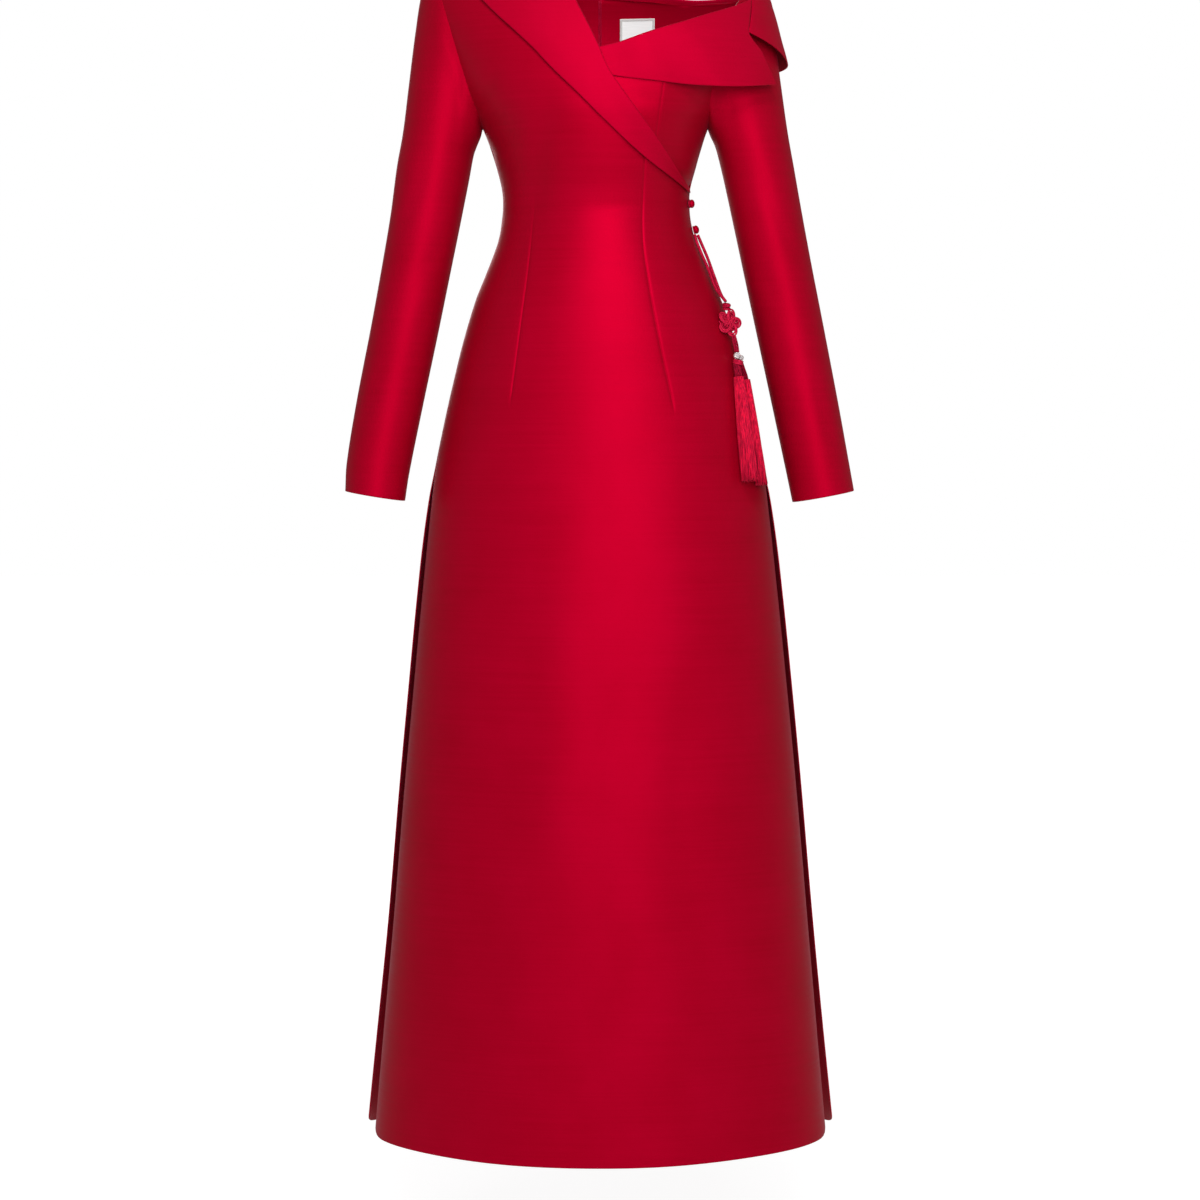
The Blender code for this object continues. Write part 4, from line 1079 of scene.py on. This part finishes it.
def make_collar_band(material):
    lines = []
    for w in across_collar():
        start = curve_at(BAND_START, w)
        under = 1.0 - ease(0.28, 0.36, w)
        end = curve_at(BAND_END, w) + mix(0.4, 1.0, under)
        line = []
        for x in spread(start, end, BAND_COLUMNS) + [end + past * under for past in (0.3, 1.4, 3.8)]:
            z = mix(curve_at(BAND_TOP, x), curve_at(BAND_LOW, x), w)
            line.append(band_point(x, z))
        if under > 0.0:
            ahead = (line[-4] - line[-8]).normalized()
            inward = ahead.cross(Vector((0.0, 0.0, 1.0))).normalized() * -1.0
            for k, deep in ((-3, 0.9), (-2, 1.9), (-1, 2.1)):
                line[k] = line[k] + inward * (deep * under)
        lines.append(line)
    grid = []
    for j in range(len(lines[0])):
        row = [line[j] for line in lines]
        before = lines[1][max(j - 1, 0)]
        after = lines[1][min(j + 1, len(lines[1]) - 1)]
        normal = (after - before).cross(row[0] - row[3]).normalized()
        grid.append(rolled(row, normal, 1.5, 9.0) + row)
    return shell("collar_band_cloth", grid, 1, material, thick=1.3)


def make_collar_back(material):
    on_body = [(top_x, level_at(top_x, top_z), low_x, level_at(low_x, low_z))
               for top_x, top_z, low_x, low_z in COLLAR_BODY]
    on_body[0] = (COLLAR_BODY[0][0], COLLAR_SEAM, COLLAR_BODY[0][2], COLLAR_SEAM)
    shared = [(math.degrees(hull_turn(top_x, top_z)), top_z, math.degrees(hull_turn(low_x, low_z)), low_z)
              for top_x, top_z, low_x, low_z in COLLAR_BODY[4:]]
    on_hull = shared + COLLAR_HULL
    last = len(COLLAR_BODY) + len(COLLAR_HULL) - 1
    body_at = [[(k, row[c]) for k, row in enumerate(on_body)] for c in range(4)]
    hull_at = [[(k + 4, row[c]) for k, row in enumerate(on_hull)] for c in range(4)]
    grid = []
    for share in spread(0.0, 1.0, COLLAR_ROWS):
        k = last * share ** 1.3
        free = ease(4.2, 6.8, k)
        row = []
        for w in across_collar():
            lift = lapel_lift(w)
            near = Vector()
            far = Vector()
            if free < 1.0:
                x = mix(curve_at(body_at[0], k), curve_at(body_at[2], k), w)
                level = mix(curve_at(body_at[1], k), curve_at(body_at[3], k), w)
                near = off_body(BACK, x, level, lift)
            if free > 0.0:
                turn = math.radians(mix(curve_at(hull_at[0], k), curve_at(hull_at[2], k), w))
                z = mix(curve_at(hull_at[1], k), curve_at(hull_at[3], k), w)
                far = clear_of_body(hull_point(turn, z), FRONT if turn < 0 else BACK, BAND_LIFT)
            row.append(near.lerp(far, free))
        grid.append(row)
    whole = []
    for i, row in enumerate(grid):
        before = grid[max(i - 1, 0)][1]
        after = grid[min(i + 1, len(grid) - 1)][1]
        normal = (row[0] - row[3]).cross(after - before).normalized()
        radius = mix(1.5, 2.4, ease(0.02, 0.12, i / len(grid)) * (1.0 - ease(0.5, 0.62, i / len(grid))))
        whole.append(rolled(row, normal, radius, 8.0) + row)
    return shell("collar_back_cloth", whole, -1, material, thick=1.3)


def make_back_seam(material):
    """The pressed centre back seam, seen on the inside of the neckline."""
    routes = []
    for beside in (-1.1, 1.1):
        route = []
        for k in range(91):
            level = mix(BACK_SEAM_TOP, BACK_SEAM_FOOT, k / 90.0)
            turn = turn_at(beside, level, BACK)
            inward = body_crease(BACK, beside, level) - BACK_SEAM_IN
            route.append(body_point(BACK, turn, level) + body_normal(BACK, turn, level) * inward)
        routes.append(route)
    return tubes("back_seam_stitch", routes, 0.7, 6, material)


def make_label(satin_white, border):
    inside = CLOTH + LABEL_OFF + LABEL_THICK
    across = spread(LABEL_X[0], LABEL_X[1], LABEL_STEPS)
    grid = []
    for z in spread(LABEL_Z[0], LABEL_Z[1], LABEL_STEPS):
        grid.append([off_body(BACK, x, level_at(x, z), -inside) for x in across])
    item = shell("label_cloth", grid, 1, satin_white, thick=0.8)

    def corner(k, inset):
        x = LABEL_X[1] - inset if k in (1, 2) else LABEL_X[0] + inset
        z = LABEL_Z[1] - inset if k in (2, 3) else LABEL_Z[0] + inset
        return x, z

    rim = []
    for k in range(4):
        for step in range(12 if k < 3 else 13):
            row = []
            for inset in (0.0, LABEL_BORDER / 2, LABEL_BORDER):
                start_x, start_z = corner(k, inset)
                end_x, end_z = corner(k + 1, inset)
                x = mix(start_x, end_x, step / 12)
                z = mix(start_z, end_z, step / 12)
                row.append(off_body(BACK, x, level_at(x, z), -inside - 0.25))
            rim.append(row)
    edge = shell("label_border", rim, -1, border, thick=0.35)
    return item, edge


def button_centre(name):
    z, turn, gap = BUTTONS[name]
    level = z - CHEST_Z
    turn = math.radians(turn)
    normal = body_normal(FRONT, turn, level)
    return body_point(FRONT, turn, level) + normal * (BUTTON_THICK / 2 + gap), normal


def make_button(name, material):
    """A cloth-covered dome, gathered at its back."""
    centre, axis = button_centre(name)
    profile = []
    for k in range(19):
        angle = math.pi * (k + 0.5) / 19.5 - math.pi / 2
        along = math.sin(angle) * BUTTON_THICK / 2
        radius = math.cos(angle) * BUTTON_ACROSS / 2
        profile.append((along, max(0.25, radius)))

    def gathers(k, angle):
        return 1.0 + (0.05 * math.cos(9.0 * angle) if k < 6 else 0.006 * math.cos(5.0 * angle + 1.0))

    return turned(name + "_cover", centre, axis, profile, 36, material, gathers)


def make_button_loop(name, material):
    """The fine cord loop that is passed over the button."""
    centre, axis = button_centre(name)
    side = axis.cross(Vector((0.0, 0.0, 1.0))).normalized()
    up = side.cross(axis).normalized()
    route = []
    base = centre - axis * (BUTTON_THICK / 2 - 0.8)
    for k in range(33):
        angle = math.radians(-160.0 + 320.0 * k / 32)
        pull = 1.0 + 0.5 * ease(110.0, 160.0, abs(math.degrees(angle)))
        route.append(base + side * (math.cos(angle) * 4.9 * pull) + up * (math.sin(angle) * 4.4))
    return tubes(name + "_loop", [route], 0.75, 8, material)


def cord_curve(name, points, radius, material):
    curve = bpy.data.curves.new(name, "CURVE")
    curve.dimensions = "3D"
    curve.bevel_depth = radius * MM
    curve.bevel_resolution = 4
    curve.use_fill_caps = True
    spline = curve.splines.new("POLY")
    spline.points.add(len(points) - 1)
    for knot, point in zip(spline.points, points):
        knot.co = (*(point * MM), 1.0)
    item = bpy.data.objects.new(name, curve)
    bpy.context.scene.collection.objects.link(item)
    curve.materials.append(material)
    return item


def cord_routes():
    routes = {}
    for name, route in (("cord_outer", CORD_OUTER), ("cord_inner", CORD_INNER)):
        routes[name] = smooth_route([Vector(point) for point in route], 40)
    return routes


def turning(angle):
    return Vector((math.cos(angle), math.sin(angle), 0.0))


def strand_bundle(name, top, foot, middle, top_radius, foot_radius, count, thread_radius, material, ragged):
    """Fine threads that fall side by side from a bound head."""
    bend = middle - (top + foot) / 2
    axis = (foot - top).normalized()
    side = axis.cross(Vector((0.0, 1.0, 0.0))).normalized()
    ahead = axis.cross(side).normalized()
    routes = []
    for k in range(count):
        radius = math.sqrt((k + 0.5) / count)
        angle = k * 2.399963
        start = side * math.cos(angle) * radius + ahead * math.sin(angle) * radius
        end_share = 1.0 - ragged * chance(k + 1.7)
        wave = 0.5 * (chance(k * 3.1 + 0.3) - 0.5)
        phase = chance(k * 1.9 + 5.0) * 6.28
        route = []
        for s in range(12):
            share = s / 11 * end_share
            size = mix(top_radius, foot_radius, share ** 0.8)
            point = top.lerp(foot, share) + start * size + bend * (4.0 * share * (1.0 - share))
            point += side * (wave * math.sin(share * 7.0 + phase) * share * 2.0)
            point += ahead * (wave * math.cos(share * 6.0 + phase) * share * 2.0)
            route.append(point)
        routes.append(route)
    return tubes(name, routes, thread_radius, 4, material)


def make_knot_top(material):
    knot = Vector(KNOT_TOP)
    routes = []
    for turn in range(3):
        route = []
        lean = 0.5 * math.sin(turn * 2.1)
        height = -2.6 + 2.5 * turn
        radius = math.sqrt(max(1.0, (KNOT_TOP_RADIUS - 1.2) ** 2 - (height * 0.45) ** 2))
        for k in range(25):
            angle = 2 * math.pi * k / 24
            rise = height + 1.1 * math.sin(angle + lean) + lean
            route.append(knot + Vector((radius * math.cos(angle), radius * math.sin(angle), rise)))
        routes.append(route)
    routes.append([knot + Vector((0.0, 0.0, v)) for v in (-4.0, -2.0, 0.0, 2.0, 4.0)])
    return tubes("knot_top_cord", routes, 1.35, 10, material)


def flower_axes():
    """Out of the flower knot, down it and to its side."""
    out = Vector(FLOWER_FACES).normalized()
    down = Vector((0.36, 0.0, -1.0))
    down = (down - out * down.dot(out)).normalized()
    return out, down, out.cross(down).normalized()


def make_knot_flower(painted_highlight_cord, dark):
    """The doubled petal cord with its upper strands, in the cord's silk painted lighter as a painted
    highlight, and the dark weave behind them in the cord's own colour.
    """
    flower = Vector(FLOWER)
    out, down, side = flower_axes()
    petals = []
    for shift in (-1.3, 1.1):
        ring = []
        for k in range(FLOWER_STEPS + 1):
            angle = 4.0 * math.pi * k / FLOWER_STEPS
            swing = FLOWER_PETALS * angle / 2.0
            radius = FLOWER_MEAN + FLOWER_SWING * math.cos(swing) + shift
            lift = FLOWER_DEPTH * math.sin(swing) * 1.05
            spot = flower + side * (radius * math.sin(angle))
            spot += down * (radius * math.cos(angle) * FLOWER_TALL)
            ring.append(spot + out * lift)
        petals.append(ring)
    woven = []
    for lean, height, half_length, offsets in KNOT_WEAVE:
        along = side * math.cos(math.radians(lean)) + down * math.sin(math.radians(lean))
        over = out.cross(along)
        bow = 0.3 * (WEAVE_SHORT / half_length) ** 4
        for offset in offsets:
            reach = half_length * math.sqrt(1.0 - (offset / WEAVE_ROUND) ** 2)
            strand = []
            for k in range(17):
                t = -1.0 + k / 8.0
                spot = flower + along * (reach * t) + over * (offset * (1.0 + bow * t * t))
                strand.append(spot + out * (height + 1.0 * math.cos(t * 7.0 + offset)))
            if height < -1.0:
                woven.append(strand)
            else:
                petals.append(strand)
    return (tubes("knot_flower_cord", petals, 1.08, 9, painted_highlight_cord),
            tubes("knot_flower_weave", woven, 1.1, 8, dark))


def make_drop(name, shift, material):
    """One of the three plied strands between the flower knot and the bead."""
    flower = Vector(FLOWER)
    down = flower_axes()[1]
    petal_end = flower + down * ((FLOWER_MEAN + FLOWER_SWING) * FLOWER_TALL + FLOWER_TUBE + 0.4)
    sideways = Vector((shift, shift * 0.3, 0.0))
    start = petal_end + sideways * 0.9 + Vector((0.0, 0.0, -abs(shift) * 0.15))
    lean = math.sqrt(BEAD_RADIUS ** 2 - (shift * 0.9) ** 2)
    end = Vector(BEAD) + sideways * 0.86 + Vector((0.0, 0.0, lean + 0.45))
    path = smooth_route([start + (flower - start) * 0.12, start.lerp(end, 0.5) + sideways * 0.2, end], 16)
    twist = []
    for ply in range(PLIES):
        first = ply * 2.0 * math.pi / PLIES
        twist.append([point + turning(k * 1.1 + first) * 0.62 for k, point in enumerate(path)])
    return tubes(name + "_cord", twist, 0.56, 6, material)


def glass_bead(name, centre, size, material):
    profile = []
    for k in range(9):
        angle = math.pi * (k + 0.6) / 9.2 - math.pi / 2
        profile.append((math.sin(angle) * size, math.cos(angle) * size))
    return turned(name, centre, Vector((0.25, 0.0, 1.0)), profile, 12, material, smooth=False)


def make_studs(beads, material):
    """Small metal studs round each bead."""
    studs = []
    rise = Vector((0.0, 0.0, 0.7))
    for centre, size in beads:
        for k in range(6):
            angle = k * math.pi / 3 + 0.4
            ahead = -0.65 if math.sin(angle) < 0 else 0.2
            spot = centre + Vector((math.cos(angle) * 0.62, ahead, math.sin(angle) * 0.6)) * size
            studs.append([spot - rise, spot + Vector((0.0, -0.5, 0.0)), spot + rise])
    return tubes("bead_studs", studs, 0.7, 6, material)


def make_ring(hub, material):
    axis = Vector((0.25, 0.0, 1.0)).normalized()
    across = axis.cross(Vector((0.0, 1.0, 0.0))).normalized()
    ahead = axis.cross(across).normalized()
    wound = []
    for turn in range(3):
        height = -1.7 + 1.7 * turn
        radius = RING_RADIUS - 1.0 - abs(turn - 1) * 0.35
        route = []
        for k in range(33):
            angle = 2 * math.pi * k / 32
            spot = hub + axis * (height + 0.5 * k / 32) + across * (radius * math.cos(angle))
            route.append(spot + ahead * (radius * math.sin(angle)))
        wound.append(route)
    return tubes("ring_cord", wound, 1.05, 8, material)


def make_neck(name, tassel, radius, shift, count, hub, material):
    top_x, top_z, _, _, top_radius, _ = TASSEL[tassel]
    start = hub + Vector((shift, shift * 0.4, -RING_HALF_HEIGHT + 0.6))
    end = lie_on_skirt(top_x, top_z, top_radius + TASSEL_OFF) + Vector((0.0, 0.0, 0.4))
    return strand_bundle(name + "_strands", start, end, (start + end) / 2, radius * 1.25, radius * 1.45,
                         count, 0.5, material, 0.0)


def make_tassel(name, material):
    top_x, top_z, foot_x, foot_z, top_radius, foot_radius = TASSEL[name]
    top = lie_on_skirt(top_x, top_z, top_radius + TASSEL_OFF)
    foot = lie_on_skirt(foot_x, foot_z, foot_radius + TASSEL_OFF)
    middle = lie_on_skirt((top.x + foot.x) / 2, (top.z + foot.z) / 2, foot_radius)
    return strand_bundle(name + "_strands", top, foot, middle, top_radius - 0.5, foot_radius - 0.6,
                         TASSEL_THREADS[name], 0.42, material, 0.045)


def make_ornament(cord_material, painted_highlight_cord, strand_material, dark_strand, glass, metal):
    """Everything on the cord from its top knot down."""
    pieces = [finish_piece(make_knot_top(cord_material), "trim", "knot_top")]
    petals, weave = make_knot_flower(painted_highlight_cord, cord_material)
    pieces.append(finish_piece(petals, "trim", "knot_flower"))
    pieces.append(finish_piece(weave, "trim"))
    for name, shift in (("drop_a", -2.0), ("drop_b", 0.0), ("drop_c", 2.0)):
        pieces.append(finish_piece(make_drop(name, shift, dark_strand), "trim", name))

    bead = Vector(BEAD)
    beside = Vector((4.6, 5.6, -2.2)).normalized() * (BEAD_RADIUS + BEAD_SIDE_RADIUS + 0.35) + bead
    beads = ((bead, BEAD_RADIUS), (beside, BEAD_SIDE_RADIUS))
    for name, (centre, size) in zip(("bead", "bead_side"), beads):
        pieces.append(finish_piece(glass_bead(name + "_glass", centre, size, glass), "bead", name))
    pieces.append(finish_piece(make_studs(beads, metal), "bead"))

    hub = bead + Vector((1.2, -0.8, -BEAD_RADIUS - RING_HALF_HEIGHT - 0.8))
    pieces.append(finish_piece(make_ring(hub, painted_highlight_cord), "trim", "ring"))
    for name, tassel, radius, shift, count in NECKS:
        neck = make_neck(name, tassel, radius, shift, count, hub, dark_strand)
        pieces.append(finish_piece(neck, "tassel", name))
    for name in TASSEL:
        pieces.append(finish_piece(make_tassel(name, strand_material), "tassel", name))
    return pieces


def make_lights():
    def lamp(name, place, aim, size, power):
        light = bpy.data.lights.new(name, "AREA")
        light.shape = "RECTANGLE"
        light.size = size[0]
        light.size_y = size[1]
        light.energy = power
        item = bpy.data.objects.new(name, light)
        item.location = place
        item.rotation_euler = (Vector(aim) - Vector(place)).to_track_quat("-Z", "Y").to_euler()
        bpy.context.scene.collection.objects.link(item)

    lamp("key", (0.9, -3.6, 0.45), (0.0, 0.0, -0.6), (1.2, 1.9), 54.0)
    lamp("front", (0.0, -3.9, 0.55), (0.0, 0.0, -0.6), (1.0, 1.4), 40.0)
    lamp("high_left", (-0.6, -2.5, 1.85), (-0.05, 0.0, -0.05), (1.3, 1.0), 26.0)
    lamp("neck", (0.1, -1.4, 0.9), (0.03, 0.09, -0.05), (0.4, 0.3), 6.0)
    lamp("low", (0.3, -3.9, -1.75), (0.0, 0.0, -1.15), (1.5, 0.6), 24.0)
    lamp("fill_left", (-2.6, -2.2, -0.1), (0.0, 0.0, -0.6), (1.4, 2.0), 3.0)
    lamp("side_right", (2.9, -1.3, 0.3), (0.0, 0.0, -0.5), (1.2, 2.2), 4.0)
    lamp("rear", (-0.9, 3.6, 0.6), (0.0, 0.0, -0.6), (1.4, 2.2), 26.0)


def white_light(node, strength):
    node.inputs["Color"].default_value = (1.0, 1.0, 1.0, 1.0)
    node.inputs["Strength"].default_value = strength
    return node.outputs["Background"]


def make_world():
    """A soft white room that the camera sees as plain white."""
    world = bpy.data.worlds.new("studio")
    bpy.context.scene.world = world
    world.use_nodes = True
    tree = world.node_tree
    path = tree.nodes.new("ShaderNodeLightPath")
    blend = tree.nodes.new("ShaderNodeMixShader")
    tree.links.new(path.outputs["Is Camera Ray"], blend.inputs[0])
    tree.links.new(white_light(tree.nodes["Background"], 0.2), blend.inputs[1])
    tree.links.new(white_light(tree.nodes.new("ShaderNodeBackground"), 1.0), blend.inputs[2])
    tree.links.new(blend.outputs["Shader"], tree.nodes["World Output"].inputs["Surface"])


def make_floor():
    """A white glowing floor with a soft round painted shade, its glow dimmed below the garment, that fades
    out from below the garment.
    """
    verts = []
    for x, y in ((-1, -1), (1, -1), (1, 1), (-1, 1)):
        verts.append(Vector((x * FLOOR_HALF, y * FLOOR_HALF, 0.0)))
    material, tree, shader = new_material("floor_white", (0.4, 0.4, 0.4), 0.8)
    shader.inputs["Emission Color"].default_value = (1.0, 1.0, 1.0, 1.0)
    spot = tree.nodes.new("ShaderNodeTexCoord")
    reach = tree.nodes.new("ShaderNodeVectorMath")
    reach.operation = "LENGTH"
    tree.links.new(spot.outputs["Object"], reach.inputs[0])
    # painted shade: the floor's glow is dimmer near the middle, below the garment
    shade = ranged(tree, reach.outputs["Value"], FLOOR_PAINTED_SHADE, (FLOOR_PAINTED_SHADE_GLOW, FLOOR_FAR))
    path = tree.nodes.new("ShaderNodeLightPath")
    seen = ranged(tree, path.outputs["Is Camera Ray"], (0.0, 1.0), (FLOOR_BOUNCE, 1.0))
    tree.links.new(reckon(tree, "MULTIPLY", shade, seen), shader.inputs["Emission Strength"])
    grain = noise_on(tree, (3.0, 3.0, 3.0), 2.0)
    color_between(tree, shader, grain, (0.39, 0.39, 0.39), (0.41, 0.41, 0.41))
    floor = link_mesh("floor", verts, [(0, 1, 2, 3)], material, smooth=False)
    floor.location.z = FLOOR_Z * MM


def woven(name, base, rough, scale, detail, low, high, bump):
    material, tree, shader = new_material(name, base, rough)
    grain = noise_on(tree, scale, detail)
    color_between(tree, shader, grain, low, high)
    bump_from(tree, shader, ((grain, *bump),))
    return material


def polished(name, base, rough, sockets, scale, low, high):
    material, tree, shader = new_material(name, base, rough)
    for socket, value in sockets.items():
        shader.inputs[socket].default_value = value
    grain = noise_on(tree, (scale, scale, scale), 2.0)
    range_into(tree, grain, low, high, shader.inputs["Roughness"])
    return material


def main():
    make_camera()
    cord_material = thread("cord_silk", (0.22, 0.0, 0.012), (0.5, 0.004, 0.04), 0.45, 900.0, 320.0)
    routes = cord_routes()
    for name, route in routes.items():
        curve = cord_curve(name + "_silk", route, CORD_RADIUS, cord_material)
        finish_piece(curve, "trim", name)

    cloth = satin("satin_crimson", (0.33, 0.0, 0.011), (0.38, 0.0, 0.0155))
    arm_cloth = satin("satin_crimson_sleeve", (0.33, 0.0, 0.011), (0.38, 0.0, 0.0155), rough=(0.54, 0.60))
    # the same satin cut on the bias, rougher and coarser in slub, with its colour painted lighter as a
    # painted sheen
    bias_painted_sheen = satin("satin_crimson_bias_painted_sheen", (0.385, 0.0, 0.016), (0.435, 0.0, 0.021),
                 (11.0, 11.0, 380.0), (0.56, 0.62))
    # the cord's silk painted lighter, a painted highlight, for the flower knot's petals and the ring
    painted_highlight_cord = thread("cord_painted_highlight", (0.34, 0.002, 0.024), (0.62, 0.012, 0.055), 0.42, 900.0, 320.0)
    strands = thread("tassel_silk", (0.30, 0.0, 0.018), (0.95, 0.008, 0.06), 0.5, 760.0, 14.0)
    dark_strand = thread("strand_silk", (0.16, 0.0, 0.01), (0.42, 0.002, 0.03), 0.5, 700.0, 60.0)
    label_white = woven("label_satin", (0.95, 0.95, 0.95), 0.45, (60.0, 60.0, 2400.0), 2.0,
                        (0.9, 0.9, 0.9), (0.98, 0.98, 0.98), (0.2, 0.0002))
    border = woven("label_edge", (0.35, 0.3, 0.3), 0.7, (1500.0, 1500.0, 1500.0), 1.0,
                   (0.5, 0.46, 0.46), (0.72, 0.7, 0.7), (0.5, 0.0003))
    glass = polished("bead_glass", (0.95, 0.92, 0.92), 0.06,
                     {"Transmission Weight": 0.55, "IOR": 1.5}, 600.0, 0.04, 0.12)
    metal = polished("bead_silver", (0.75, 0.72, 0.7), 0.25, {"Metallic": 1.0}, 900.0, 0.2, 0.4)

    ornament = make_ornament(cord_material, painted_highlight_cord, strands, dark_strand, glass, metal)

    def dress(name, item):
        finish_piece(item, "cloth", name)

    dress("front", make_front(cloth))
    dress("front_under", make_front_under(cloth))
    dress("back_right", make_back("right", cloth))
    dress("back_left", make_back("left", cloth))
    dress("sleeve_right", make_sleeve("right", arm_cloth))
    dress("sleeve_left", make_sleeve("left", arm_cloth))
    dress("lapel", make_lapel(bias_painted_sheen))
    dress("collar_band", make_collar_band(bias_painted_sheen))
    dress("collar_back", make_collar_back(bias_painted_sheen))
    finish_piece(make_back_seam(cord_material), "cloth")
    label, label_edge = make_label(label_white, border)
    finish_piece(label, "label", "label")
    finish_piece(label_edge, "label")
    for name in BUTTONS:
        finish_piece(make_button(name, cloth), "trim", name)
        finish_piece(make_button_loop(name, cord_material), "trim")

    make_floor()
    make_lights()
    make_world()
    view = bpy.context.scene.view_settings
    view.view_transform = "Standard"
    view.look = "None"
    view.exposure = 0.0
    view.gamma = 1.0


main()
